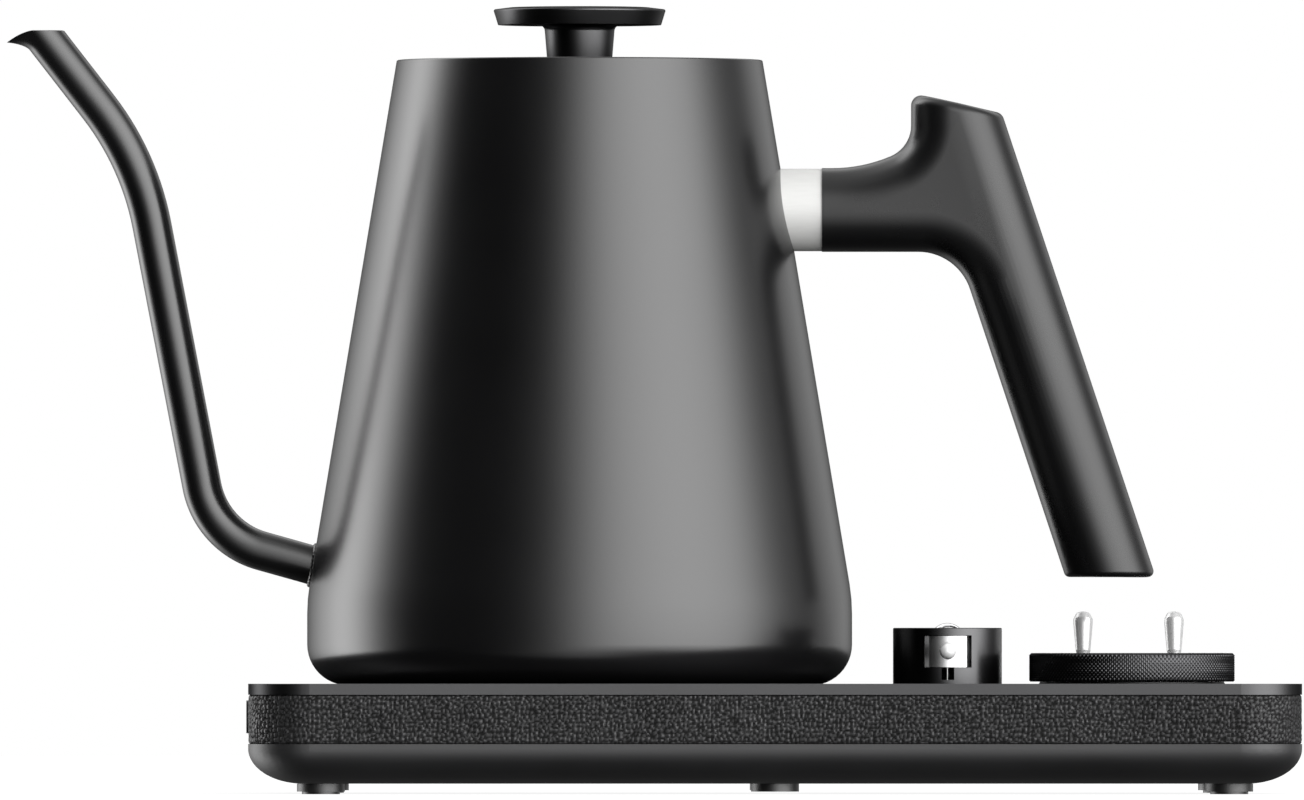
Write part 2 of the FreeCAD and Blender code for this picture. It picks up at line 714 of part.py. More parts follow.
def vessel():
    """Floor of the water vessel, heater plate with cover posts, element, sensors."""
    top = s.floor_z + s.floor_thickness
    inner = s.body_radius - s.body_wall
    floor = turned(
        "floor_blank",
        [
            (0, s.floor_z),
            (inner - 0.02, s.floor_z),
            (inner - 0.16, s.shoulder_z),
            (inner - s.floor_thickness, s.shoulder_z),
            (inner - s.floor_thickness, top),
            (0, top),
        ],
        at_kettle(),
    )
    probe_hole = cylinder("probe_hole", 3.2, 5.0, (s.kettle_x, s.probe_y, s.floor_z - 2))
    cut("vessel_floor", floor, [probe_hole])

    plate_low = s.floor_z - s.heater_thickness
    plate = cylinder("heater_disc", s.heater_radius, s.heater_thickness, at_kettle(plate_low))
    cover_top = s.body_z + 2.4
    posts, threads, screws = [], [], []
    for i, (px, py) in enumerate(cover_posts()):
        spot = (s.kettle_x + px, py)
        posts.append(cylinder(f"cover_post_{i}", 2.6, s.floor_z - cover_top - 1, (*spot, cover_top)))
        threads.append(cylinder(f"post_thread_{i}", 1.3, 8.0, (*spot, cover_top)))
        head = cylinder(f"cover_screw_head_{i}", 2.7, 1.0, (*spot, s.body_z + 0.4))
        shank = cylinder(f"cover_screw_shank_{i}", 1.25, 7.0, (*spot, s.body_z + 1.2))
        screws.append(fuse(f"cover_screw_{i}", [head, shank]))
    cut("heater_plate", fuse("heater_blank", [plate] + posts), threads)
    group("underside_screws", screws)

    ring = named("Part::Torus", "element_ring")
    bind(ring, "Radius1", s.element_radius)
    bind(ring, "Radius2", s.element_tube)
    ring.Angle3 = 300.0
    place(ring, at_kettle(plate_low - s.element_tube), Rotation(Vector(0, 0, 1), 30))
    ends = []
    for i, turn in enumerate((30, 330)):
        x = s.kettle_x + s.element_radius * math.cos(math.radians(turn))
        y = s.element_radius * math.sin(math.radians(turn))
        ends.append(cylinder(f"element_pin_{i}", 1.2, 6.0, (x, y, plate_low - 2 * s.element_tube - 4)))
    fuse("heating_element", [ring] + ends)

    cylinder("thermostat", 5.4, 4.4, (s.kettle_x - 26.6, 0, plate_low - 4.4))
    probe_at = (s.kettle_x, s.probe_y)
    shaft = cylinder("probe_shaft", 2.0, 24.0, (*probe_at, s.floor_z - 10))
    tip = ball("probe_tip", 2.0, (*probe_at, s.floor_z + 14))
    fuse("temperature_probe", [shaft, tip])
    turned(
        "probe_seal",
        [
            (2.0, s.floor_z - 1.5),
            (5.0, s.floor_z - 1.5),
            (5.0, s.floor_z),
            (3.2, s.floor_z),
            (3.2, top),
            (4.6, top),
            (4.0, top + 1.5),
            (2.0, top + 1.5),
        ],
        (*probe_at, 0),
    )
    cover = turned(
        "cover_blank",
        [
            (s.tower_radius + 4.3, s.body_z + 0.3),
            (s.lip_radius - 0.2, s.body_z + 0.3),
            (s.lip_radius - 0.2, cover_top),
            (s.tower_radius + 4.3, cover_top),
        ],
        at_kettle(),
    )
    holes = []
    for i, (px, py) in enumerate(cover_posts()):
        spot = (s.kettle_x + px, py)
        holes.append(cylinder(f"cover_seat_{i}", 3.0, 1.2, (*spot, s.body_z + 0.2)))
        holes.append(cylinder(f"cover_hole_{i}", 1.5, 4.0, (*spot, s.body_z + 0.2)))
    cut("kettle_underside", cover, [fuse("cover_tools", holes)])


def cover_posts():
    """Four posts that hold the underside cover, about the kettle's axis."""
    reach = 28.0
    turns = [math.radians(a) for a in (60, 120, 240, 300)]
    return [(reach * math.cos(a), reach * math.sin(a)) for a in turns]


def lid_seat():
    """Ring welded inside the rim, with a collar that takes the lid's skirt."""
    flange_low, flange_top = s.lid_z - 1.0, s.lid_z - 0.05
    inside = s.body_wall
    turned(
        "lid_seat_ring",
        [
            (s.collar_radius, s.lid_z - 11.5),
            (s.collar_radius + 0.8, s.lid_z - 11.5),
            (s.collar_radius + 0.8, flange_low),
            (wall_radius(flange_low, inside), flange_low),
            (wall_radius(flange_top, inside), flange_top),
            (s.collar_radius, flange_top),
        ],
        at_kettle(),
    )


# ---- spout ----


def degrees(sketch, edge, value):
    """Fixes the direction of a straight edge, in degrees from the sketch's X axis."""
    index = sketch.addConstraint(Sketcher.Constraint("Angle", edge, math.radians(number(value))))
    if isinstance(value, Size):
        sketch.setExpression(f"Constraints[{index}]", f"{value.text} * 1 deg")


def bend_table(sketch, start, runs, bends):
    """A path of straight runs joined by tangent arcs: runs are (length, direction in degrees)."""
    here = flat(start)
    kinds = []
    for i, (length, heading) in enumerate(runs):
        turn = math.radians(number(heading))
        ahead = Vector(math.cos(turn), math.sin(turn), 0)
        there = here + ahead * number(length)
        sketch.addGeometry(Part.LineSegment(here, there), False)
        kinds.append(("run", length, heading))
        here = there
        if i < len(bends):
            radius = number(bends[i])
            next_turn = math.radians(number(runs[i + 1][1]))
            side = 1 if next_turn > turn else -1
            left = Vector(-math.sin(turn), math.cos(turn), 0)
            centre = here + left * (side * radius)
            first = turn - side * math.pi / 2
            last = next_turn - side * math.pi / 2
            circle = Part.Circle(centre, Vector(0, 0, 1), radius)
            low, high = (first, last) if side > 0 else (last, first)
            sketch.addGeometry(Part.ArcOfCircle(circle, low, high), False)
            kinds.append(("bend", bends[i], side))
            here = centre + Vector(math.cos(last), math.sin(last), 0) * radius
    pin_point(sketch, 0, 1, start)
    for i, (kind, size, extra) in enumerate(kinds):
        if kind == "run":
            dimension(sketch, "Distance", i, value=size)
            degrees(sketch, i, extra)
        else:
            enter, leave = (1, 2) if extra > 0 else (2, 1)
            sketch.addConstraint(Sketcher.Constraint("Tangent", i - 1, 2, i, enter))
            sketch.addConstraint(Sketcher.Constraint("Tangent", i, leave, i + 1, 1))
            dimension(sketch, "Radius", i, value=size)


def spout():
    """Gooseneck tube with a level mouth and a pouring beak."""
    body = body_at("spout")
    path = sketch_on(body)
    start = (s.spout_root_x, s.spout_root_z)
    runs = [
        (s.spout_root_run, 180 - s.spout_root_rise),
        (s.spout_mid_run, 90 + s.spout_mid_lean),
        (s.spout_tip_run, 90 + s.spout_tip_lean),
    ]
    bend_table(path, start, runs, [s.spout_low_bend, s.spout_high_bend])
    doc.recompute()
    spine = [f"Edge{i}" for i in range(1, len(path.Shape.Edges) + 1)]

    def pipe(kind, radius):
        ring = body.newObject("Sketcher::SketchObject", "spout_" + kind.lower())
        ring.AttachmentSupport = [(path, "Edge1")]
        ring.MapMode = "NormalToEdge"
        ring.MapPathParameter = 0.0
        ring.addGeometry(Part.Circle(Vector(), Vector(0, 0, 1), number(radius)), False)
        ring.addConstraint(Sketcher.Constraint("Coincident", 0, 3, -1, 1))
        dimension(ring, "Radius", 0, value=radius)
        thing = body.newObject("PartDesign::" + kind, "spout_" + kind.lower() + "_pipe")
        thing.Profile = ring
        thing.Spine = (path, spine)
        body.Tip = thing

    pipe("AdditivePipe", s.spout_radius)
    beak = sketch_on(body)
    polygon(
        beak,
        [
            (s.beak_x, s.beak_z),
            (s.beak_x + 4.1, s.beak_z - 1.2),
            (s.beak_x + 6.1, s.beak_z - 3.4),
            (s.beak_x + 8.0, s.beak_z - 3.4),
            (s.beak_x + 6.0, s.mouth_z),
        ],
    )
    feature(body, "Pad", beak, Length=s.beak_half * 2, Midplane=True)
    level = sketch_on(body)
    polygon(
        level,
        [
            (s.beak_x, s.beak_z),
            (s.beak_x + 5.8, s.mouth_z),
            (s.beak_x + 30, s.mouth_z),
            (s.beak_x + 30, s.mouth_z + 30),
            (s.beak_x - 20, s.mouth_z + 30),
            (s.beak_x - 20, s.beak_z),
        ],
    )
    feature(body, "Pocket", level, Type="ThroughAll", Midplane=True)
    pipe("SubtractivePipe", s.spout_bore)
    return body


# ---- handle ----


def handle_grip():
    """Round-section arm and leaning grip, full round on both sides, with a cut top and foot."""
    body = body_at("grip_blank")
    sketch = sketch_on(body)
    arm_top, arm_low = s.neck_z + s.arm_radius, s.neck_z - s.arm_radius
    blank_top, blank_foot = number(s.blank_top), number(s.blank_foot)
    arm_run = 2.4
    a = Vector(s.arm_x.value, arm_top.value, 0)
    b = a + Vector(arm_run, 0, 0)
    big, small = s.arm_bend.value, s.thumb_bend.value
    # The large arc turns until the small one can end upright on the thumb rest's front.
    lean = math.asin((s.thumb_x.value - b.x - small) / (big - small))
    c = b + Vector(big * math.sin(lean), big * (1 - math.cos(lean)), 0)
    small_centre = c + Vector(-math.sin(lean), math.cos(lean), 0) * small
    d = small_centre + Vector(small, 0, 0)
    top_front = Vector(s.thumb_x.value, blank_top, 0)
    top_back = Vector(s.back_top_x.value, blank_top, 0)
    foot_back = Vector(s.back_foot_x.value, blank_foot, 0)
    foot_inner = Vector(s.inner_foot_x.value, blank_foot, 0)
    along = (top_back - foot_back).normalize()
    slant = math.atan2(along.y, along.x)
    r = s.under_bend.value
    corner_x = foot_inner.x + (arm_low.value - blank_foot) / math.tan(slant)
    corner = Vector(corner_x, arm_low.value, 0)
    tangent = r * math.tan((math.pi - slant) / 2)
    e = corner - along * tangent
    f = corner - Vector(tangent, 0, 0)
    g = Vector(s.arm_x.value, arm_low.value, 0)
    up = Vector(0, 0, 1)
    sketch.addGeometry(Part.LineSegment(a, b), False)
    big_circle = Part.Circle(b + Vector(0, big, 0), up, big)
    sketch.addGeometry(Part.ArcOfCircle(big_circle, -math.pi / 2, lean - math.pi / 2), False)
    small_circle = Part.Circle(small_centre, up, small)
    sketch.addGeometry(Part.ArcOfCircle(small_circle, lean - math.pi / 2, 0), False)
    sketch.addGeometry(Part.LineSegment(d, top_front), False)
    sketch.addGeometry(Part.LineSegment(top_front, top_back), False)
    sketch.addGeometry(Part.LineSegment(top_back, foot_back), False)
    sketch.addGeometry(Part.LineSegment(foot_back, foot_inner), False)
    sketch.addGeometry(Part.LineSegment(foot_inner, e), False)
    under = Part.Circle(f - Vector(0, r, 0), up, r)
    sketch.addGeometry(Part.ArcOfCircle(under, slant - math.pi / 2, math.pi / 2), False)
    sketch.addGeometry(Part.LineSegment(f, g), False)
    sketch.addGeometry(Part.LineSegment(g, a), False)
    add = sketch.addConstraint
    add(Sketcher.Constraint("Tangent", 0, 2, 1, 1))
    add(Sketcher.Constraint("Tangent", 1, 2, 2, 1))
    add(Sketcher.Constraint("Tangent", 2, 2, 3, 1))
    for first in (3, 4, 5, 6):
        add(Sketcher.Constraint("Coincident", first, 2, first + 1, 1))
    add(Sketcher.Constraint("Tangent", 7, 2, 8, 1))
    add(Sketcher.Constraint("Tangent", 8, 2, 9, 1))
    add(Sketcher.Constraint("Coincident", 9, 2, 10, 1))
    add(Sketcher.Constraint("Coincident", 10, 2, 0, 1))
    add(Sketcher.Constraint("Horizontal", 0))
    add(Sketcher.Constraint("Horizontal", 9))
    add(Sketcher.Constraint("Parallel", 5, 7))
    pin_point(sketch, 0, 1, (s.arm_x, arm_top))
    dimension(sketch, "Distance", 0, value=arm_run)
    dimension(sketch, "Radius", 1, value=s.arm_bend)
    dimension(sketch, "Radius", 2, value=s.thumb_bend)
    add(Sketcher.Constraint("Vertical", 3))
    pin_point(sketch, 4, 1, (s.thumb_x, s.blank_top))
    pin_point(sketch, 5, 1, (s.back_top_x, s.blank_top))
    pin_point(sketch, 6, 1, (s.back_foot_x, s.blank_foot))
    pin_point(sketch, 7, 1, (s.inner_foot_x, s.blank_foot))
    dimension(sketch, "Radius", 8, value=s.under_bend)
    pin_point(sketch, 10, 1, (s.arm_x, arm_low))
    feature(body, "Pad", sketch, Length=s.grip_half * 2, Midplane=True)

    def long_edge(edge):
        box = edge.BoundBox
        on_side = box.YLength < NEAR and abs(abs(box.YMin) - s.grip_half.value) < NEAR
        at_end = box.XLength < NEAR and abs(box.XMin - s.arm_x.value) < NEAR
        at_cut = box.ZLength < NEAR and min(abs(box.ZMin - z) for z in (blank_top, blank_foot)) < NEAR
        return on_side and not at_end and not at_cut

    round_edges(body, s.grip_round, long_edge)
    top_cut = sketch_on(body)
    polygon(top_cut, [(50.0, 170.0), (95.0, 160.0), (95.0, 195.0), (50.0, 195.0)])
    feature(body, "Pocket", top_cut, Type="ThroughAll", Midplane=True)
    foot_cut = sketch_on(body)
    foot_low = s.blank_foot - 5
    polygon(
        foot_cut,
        [(80.0, foot_low), (140.0, foot_low), (140.0, s.grip_foot_z), (80.0, s.grip_foot_z)],
    )
    feature(body, "Pocket", foot_cut, Type="ThroughAll", Midplane=True)

    def top_edge(edge):
        middle = edge.valueAt((edge.FirstParameter + edge.LastParameter) / 2)
        height = 170.0 - (middle.x - 50.0) * 10.0 / 45.0
        ends = [v.Point for v in edge.Vertexes] + [middle]
        return all(abs(p.z - (170.0 - (p.x - 50.0) * 10.0 / 45.0)) < NEAR for p in ends) and height > 0

    def foot_edge(edge):
        box = edge.BoundBox
        return box.ZLength < NEAR and abs(box.ZMin - s.grip_foot_z.value) < NEAR

    round_edges(body, 2.4, top_edge)
    round_edges(body, 1.4, foot_edge)
    bore = cylinder(
        "grip_bore", s.stub_radius + 0.05, s.stub_end + 0.3 - s.arm_x + 1, (s.arm_x - 1, 0, s.neck_z), "X"
    )
    tools = [bore]
    for i, x in enumerate(handle_screw_places()):
        tools.append(cylinder(f"grip_seat_{i}", 3.0, 3.0, (x, 0, arm_low - 0.2)))
        tools.append(cylinder(f"grip_hole_{i}", 1.6, 8.0, (x, 0, arm_low - 0.2)))
    return cut("handle_grip", body, [fuse("grip_tools", tools)])


def handle_screw_places():
    return (s.arm_x + 8, s.arm_x + 18)


def handle_fittings():
    """Bright neck ring, bracket welded to the body, and the two screws that hold the grip."""
    low = s.neck_z - 15
    cone_low, cone_high = wall_radius(low), wall_radius(low + 30)
    wall_a = cone("neck_wall_a", cone_low, cone_high, 30.0, at_kettle(low))
    wall_b = cone("neck_wall_b", cone_low, cone_high, 30.0, at_kettle(low))
    start = 28.0
    ring = tube("neck_blank", s.neck_radius, s.neck_bore, s.arm_x - start, (start, 0, s.neck_z), "X")
    cut("neck_ring", ring, [wall_a])
    disc = cylinder("bracket_disc", s.neck_bore - 0.1, 8.0, (start, 0, s.neck_z), "X")
    stub = cylinder("bracket_stub", s.stub_radius, s.stub_end - start, (start, 0, s.neck_z), "X")
    tools = [wall_b]
    screws = []
    arm_low = s.neck_z - s.arm_radius
    for i, x in enumerate(handle_screw_places()):
        tools.append(cylinder(f"bracket_thread_{i}", 1.5, 10.0, (x, 0, arm_low)))
        head = cylinder(f"grip_screw_head_{i}", 2.7, 1.6, (x, 0, arm_low + 1.2))
        shank = cylinder(f"grip_screw_shank_{i}", 1.45, 6.8, (x, 0, arm_low + 2.8))
        screws.append(fuse(f"grip_screw_{i}", [head, shank]))
    cut("handle_bracket", fuse("bracket_blank", [disc, stub]), tools)
    group("handle_screws", screws)


# ---- lid ----


def lid():
    """Cover, skirt, seal, knob and the screw that joins them."""
    cover = cylinder("lid_disc", s.lid_radius, s.lid_top - s.lid_z, at_kettle(s.lid_z))
    skirt = turned(
        "skirt_blank",
        [
            (0, s.skirt_z),
            (s.skirt_radius, s.skirt_z),
            (s.skirt_radius, s.lid_z - 8.5),
            (s.skirt_radius - 0.6, s.lid_z - 8.5),
            (s.skirt_radius - 0.6, s.lid_z - 5.5),
            (s.skirt_radius, s.lid_z - 5.5),
            (s.skirt_radius, s.lid_z),
            (s.skirt_radius - 1.4, s.lid_z),
            (s.skirt_radius - 1.4, s.skirt_z + 0.8),
            (0, s.skirt_z + 0.8),
        ],
        at_kettle(),
    )
    vents_top, vents_low = [], []
    for i in range(3):
        turn = math.radians(90 + 120 * i)
        x = s.kettle_x + 14 * math.cos(turn)
        y = 14 * math.sin(turn)
        vents_top.append(cylinder(f"cover_vent_{i}", 1.2, 6.0, (x, y, s.lid_z - 2)))
        vents_low.append(cylinder(f"skirt_vent_{i}", 1.2, 4.0, (x, y, s.skirt_z - 1)))
    vents_top.append(cylinder("cover_screw_way", 2.1, 6.0, at_kettle(s.lid_z - 2)))
    cut("lid_cover", cover, vents_top)
    cut("lid_skirt", skirt, vents_low)
    seal_mid = s.lid_z - 7.0
    turned(
        "lid_seal",
        [
            (s.skirt_radius - 0.6, seal_mid - 1.5),
            (s.skirt_radius, seal_mid - 1.5),
            (s.collar_radius - 0.1, seal_mid - 0.5),
            (s.collar_radius - 0.1, seal_mid + 0.5),
            (s.skirt_radius, seal_mid + 1.5),
            (s.skirt_radius - 0.6, seal_mid + 1.5),
        ],
        at_kettle(),
    )
    knob = turned(
        "knob_blank",
        [
            (0, s.lid_top),
            (s.knob_foot_radius, s.lid_top),
            (s.knob_neck_radius, s.knob_under_z),
            (s.knob_under_radius, s.knob_under_z),
            (s.knob_radius, s.knob_edge_z),
            (s.knob_radius - 4, s.knob_top - 0.25),
            (0, s.knob_top),
        ],
        at_kettle(),
        [(1.5, (s.knob_neck_radius, s.knob_under_z)), (0.4, (s.knob_radius, s.knob_edge_z))],
    )
    cut("lid_knob", knob, [cylinder("knob_thread", 2.0, 9.0, at_kettle(s.lid_top - 1))])
    head = cylinder("knob_screw_head", 4.0, 1.8, at_kettle(s.lid_z - 1.8))
    shank = cylinder("knob_screw_shank", 1.95, 8.6, at_kettle(s.lid_z - 0.5))
    fuse("knob_screw", [head, shank])


# ---- start drum, selector and start button ----


def drum_controls():
    """Drum with a window, the selector hub and lever seen in it, and the button on top."""
    at = (s.drum_x, s.drum_y)
    drum = turned(
        "drum_blank",
        [
            (s.drum_bore, s.plate_top),
            (s.drum_radius, s.plate_top),
            (s.drum_radius, s.drum_top),
            (s.button_radius + 0.15, s.drum_top),
            (s.button_radius + 0.15, s.window_high),
            (s.drum_bore, s.window_high),
        ],
        (*at, 0),
        [(0.3, (s.drum_radius, s.drum_top))],
    )
    front = s.drum_y - s.drum_radius / 2 - 1
    window = block(
        "drum_window",
        (s.window_half * 2, s.drum_radius + 2, s.window_high - s.window_low),
        (s.drum_x, front),
        s.window_low,
    )
    slot = block(
        "drum_slot",
        (s.slot_side * 2, s.drum_radius + 2, s.window_low - s.slot_low + 0.5),
        (s.drum_x, front),
        s.slot_low,
    )
    cut("start_drum", drum, [fuse("drum_opening", [window, slot])])

    hub_low, hub_top = s.window_low + 0.1, s.window_high - 0.15
    stem_low = s.plate_z - 7.5
    hub = turned(
        "hub_blank",
        [
            (s.shank_radius + 0.1, stem_low),
            (s.stem_radius, stem_low),
            (s.stem_radius, hub_low),
            (s.hub_radius, hub_low),
            (s.hub_radius, hub_top),
            (s.button_radius + 0.15, hub_top),
            (s.button_radius + 0.15, hub_top - 2.2),
            (s.shank_radius + 0.1, hub_top - 2.2),
        ],
        (*at, 0),
    )
    rod_root = s.hub_radius - 2.2
    socket = cylinder("lever_socket", 0.9, 3.0, (s.drum_x, s.drum_y - rod_root, s.lever_z), "-Y")
    cut("selector_hub", hub, [socket])
    rod = cylinder(
        "lever_rod", 0.9, s.lever_reach - rod_root - 0.1, (s.drum_x, s.drum_y - rod_root - 0.1, s.lever_z), "-Y"
    )
    knob = ball("lever_ball", s.ball_radius, (s.drum_x, s.drum_y - s.lever_reach, s.lever_z))
    fuse("selector_lever", [rod, knob])
    tube("selector_switch", 6.0, s.stem_radius + 0.1, 7.0, (*at, s.plate_z - 7.0))

    head_low = s.window_high + 0.3
    dome_rise = 1.15
    dome_radius = (s.button_radius.value**2 + dome_rise**2) / (2 * dome_rise)
    button_top = s.drum_top + dome_rise
    shank = cylinder("button_shank", s.shank_radius, head_low - 14.0, (*at, 14.0))
    head = cylinder("button_head", s.button_radius, button_top - head_low, (*at, head_low))
    dome = ball("button_dome", dome_radius, (*at, button_top - dome_radius))
    crown = named("Part::MultiCommon", "button_crown")
    crown.Shapes = [head, dome]
    fuse("start_button", [shank, crown])
    spring(head_low, hub_top - 2.2)
    block("start_switch", (6.0, 6.0, 4.0), at, s.board_z + s.board_thickness)


def spring(high, low):
    """Coil between the hub and the button's head, as a helix swept by its wire."""
    wire_radius, mean, turns = 0.28, 2.1, 3
    gap = number(high) - number(low)
    rise = gap - 2 * wire_radius - 0.1
    helix = Part.makeHelix(rise / turns, rise, mean)
    circle = Part.Circle(Vector(mean, 0, 0), Vector(0, 1, 0), wire_radius)
    profile = Part.Wire([circle.toShape()])
    swept = Part.Wire(helix.Edges).makePipeShell([profile], True, True)
    coil = named("Part::Feature", "button_spring")
    coil.Shape = swept
    place(coil, (s.drum_x, s.drum_y, low + wire_radius + 0.05))
    return coil


# ---- dial ----


def dial():
    """Temperature dial, its spindle, the ring under it and the potentiometer that it turns."""
    at = (s.dial_x, s.dial_y)
    bevel = s.dial_chamfer
    turned(
        "dial",
        [
            (s.spindle_radius, s.dial_z + 2.6),
            (9.0, s.dial_z + 2.6),
            (9.0, s.dial_z),
            (s.dial_radius - 0.3, s.dial_z),
            (s.dial_radius, s.dial_z + 0.3),
            (s.dial_radius, s.dial_top - bevel),
            (s.dial_radius - bevel, s.dial_top),
            (s.dial_radius - 5.2, s.dial_top),
            (s.dial_radius - 5.8, s.dial_top - 0.6),
            (0, s.dial_top - 0.6),
            (0, s.dial_top - 1.8),
            (s.spindle_radius, s.dial_top - 1.8),
        ],
        (*at, 0),
    )
    cylinder("dial_spindle", s.spindle_radius, s.dial_top - 2.0 - 12.0, (*at, 12.0))
    tube("dial_pedestal", s.pedestal_radius, 9.5, s.dial_z - s.plate_top - 0.3, (*at, s.plate_top))
    case = cylinder("pot_case", 8.0, 21.0 - 8.6, (*at, 8.6))
    throat = cylinder("pot_throat", 3.55, 7.5, (*at, 21.0))
    way = cylinder("pot_way", s.spindle_radius + 0.05, 20.0, (*at, 11.5))
    cut("potentiometer", fuse("pot_blank", [case, throat]), [way])
    hexagon = nut("pot_nut_blank", 10.0, 2.0, (*at, s.plate_top))
    cut("potentiometer_nut", hexagon, [cylinder("pot_nut_bore", 3.6, 4.0, (*at, s.plate_top - 1))])


# ---- toggles and indicator ----


def toggle_levers():
    """Two bat-handle toggle switches: case and bushing, nut, and the lever that tilts."""
    nuts = []
    for name, side in (("power", -1), ("hold", 1)):
        x = s.dial_x + side * s.toggle_half_pitch
        case = block(f"{name}_case", (8.0, 13.0, 9.0), (x, s.toggle_y), 11.0)
        throat = cylinder(f"{name}_throat", s.bushing_radius, s.bushing_top - 20.0, (x, s.toggle_y, 20.0))
        way = cylinder(f"{name}_way", 2.5, 9.0, (x, s.toggle_y, 25.0))
        cut(f"{name}_toggle_body", fuse(f"{name}_toggle_blank", [case, throat]), [way])
        hexagon = nut(f"{name}_nut_blank", 9.0, 2.2, (x, s.toggle_y, s.plate_top))
        bore = cylinder(f"{name}_nut_bore", s.bushing_radius, 4.0, (x, s.toggle_y, s.plate_top - 1))
        nuts.append(cut(f"{name}_nut", hexagon, [bore]))
        reach = s.toggle_reach
        lever = turned(
            f"{name}_toggle_lever",
            [
                (0, -1.4),
                (1.5, -1.4),
                (2.1, 0.0),
                (1.2, 1.6),
                (1.2, 4.6),
                (1.75, 6.2),
                (s.bat_radius, reach - 2.9),
                (s.bat_radius, reach - 1.9),
                (s.bat_radius - 0.75, reach - 0.4),
                (0, reach),
            ],
            (x, s.toggle_y, s.toggle_pivot_z),
            [(0.9, (s.bat_radius - 0.75, reach - 0.4)), (0.9, (s.bat_radius, reach - 1.9))],
        )
        lever.Placement.Rotation = Rotation(Vector(1, 0, 0), -s.toggle_lean.value)
    group("toggle_nuts", nuts)
    cylinder("indicator_lens", 1.5, s.plate_top - 21.0, (s.dial_x, s.toggle_y, 21.0))


# ---- cord inlet and electronics ----


def cord_bushing():
    """Bushing in the base's end wall that the mains lead passes through."""
    end = s.base_x - s.base_length / 2
    flange = body_at("bushing_flange", (end - s.inlet_proud, 0, s.inlet_z))
    sketch = sketch_on(flange, "YZ_Plane")
    rounded_rectangle(sketch, s.inlet_breadth / 2, s.inlet_height / 2, 2.0)
    feature(flange, "Pad", sketch, Length=s.inlet_proud)
    length = 10.9
    sleeve = cylinder("bushing_sleeve", s.inlet_sleeve, length, (end - s.inlet_proud, 0, s.inlet_z), "X")
    inner = end + s.band_thickness + s.tray_wall
    collar = cylinder("bushing_collar", 4.6, 1.5, (inner, 0, s.inlet_z), "X")
    bore = cylinder("bushing_bore", s.inlet_bore, 20.0, (end - 5, 0, s.inlet_z), "X")
    cut("cord_bushing", fuse("bushing_blank", [flange, sleeve, collar]), [bore])


def electronics():
    """Power board with relay and transformer, control board, ribbon, leads and screws."""
    top = s.board_z + s.board_thickness
    holes = {"power_board": [], "control_board": []}
    screws = []
    for i, (x, y) in enumerate(board_posts()):
        board = "power_board" if x < 0 else "control_board"
        holes[board].append(cylinder(f"board_hole_{i}", 1.2, 4.0, (x, y, s.board_z - 1)))
        head = cylinder(f"board_screw_head_{i}", 2.0, 1.2, (x, y, top))
        shank = cylinder(f"board_screw_shank_{i}", 0.9, 4.6, (x, y, top - 4.5))
        screws.append(fuse(f"board_screw_{i}", [head, shank]))
    power = block("power_blank", (40.0, 88.0, s.board_thickness), (-62.5, 0.0), s.board_z)
    control = block("control_blank", (80.0, 88.0, s.board_thickness), (102.0, 0.0), s.board_z)
    cut("power_board", power, holes["power_board"])
    cut("control_board", control, holes["control_board"])
    group("board_screws", screws)
    block("relay", (15.0, 19.0, 11.0), (-62.0, -22.0), top)
    block("transformer", (16.0, 16.0, 12.0), (-62.0, 20.0), top)
    block("ribbon_cable", (110.0, 8.0, 0.8), (11.0, -20.0), top)
    leads = []
    for i, y in enumerate((-8.0, 0.0, 8.0)):
        leads.append(lead(f"coupler_lead_{i}", y, top + 3))
    group("coupler_leads", leads)


def lead(label, y, end_z):
    """Insulated wire from under the coupler, down and across to the power board."""
    drop_x, end_x, bend, radius = -24.0, -52.0, 5.0, 1.1
    high, low = s.plate_z.value - 2.2, number(end_z) + 1
    points = [Vector(drop_x, y, high), Vector(drop_x, y, low + bend)]
    points += [Vector(drop_x - bend, y, low), Vector(end_x + bend, y, low)]
    points += [Vector(end_x, y, low - bend + 1.5), Vector(end_x, y, number(s.board_z) + 1.6)]
    middle = drop_x - bend + bend * math.cos(math.radians(45))
    arc = Part.Arc(points[1], Vector(middle, y, low + bend - bend * math.sin(math.radians(45))), points[2])
    edges = [Part.LineSegment(points[0], points[1]).toShape(), arc.toShape()]
    edges.append(Part.LineSegment(points[2], points[3]).toShape())
    path = Part.Wire(edges)
    circle = Part.Circle(points[0], Vector(0, 0, 1), radius)
    swept = path.makePipeShell([Part.Wire([circle.toShape()])], True, False)
    thing = named("Part::Feature", label)
    thing.Shape = swept
    return thing


# ---- build, check and write ----

NODES = """base_tray leatherette_band top_plate tray_screws
foot_front_left foot_front_middle foot_front_right foot_rear_left foot_rear_middle foot_rear_right
coupler_tower coupler_contacts cord_bushing
power_board relay transformer control_board board_screws ribbon_cable coupler_leads
start_drum selector_hub selector_lever selector_switch start_button button_spring start_switch
dial dial_spindle dial_pedestal potentiometer potentiometer_nut
power_toggle_body hold_toggle_body toggle_nuts power_toggle_lever hold_toggle_lever indicator_lens
kettle_body vessel_floor heater_plate heating_element thermostat temperature_probe probe_seal
kettle_underside underside_screws socket_housing socket_blades
spout neck_ring handle_grip handle_bracket handle_screws lid_seat_ring
lid_cover lid_skirt lid_seal lid_knob knob_screw""".split()


def check(thing):
    """Stops the build if an object failed."""
    if "Invalid" in thing.State or "Error" in thing.State:
        raise RuntimeError(f"{thing.Label} failed: {thing.State}")


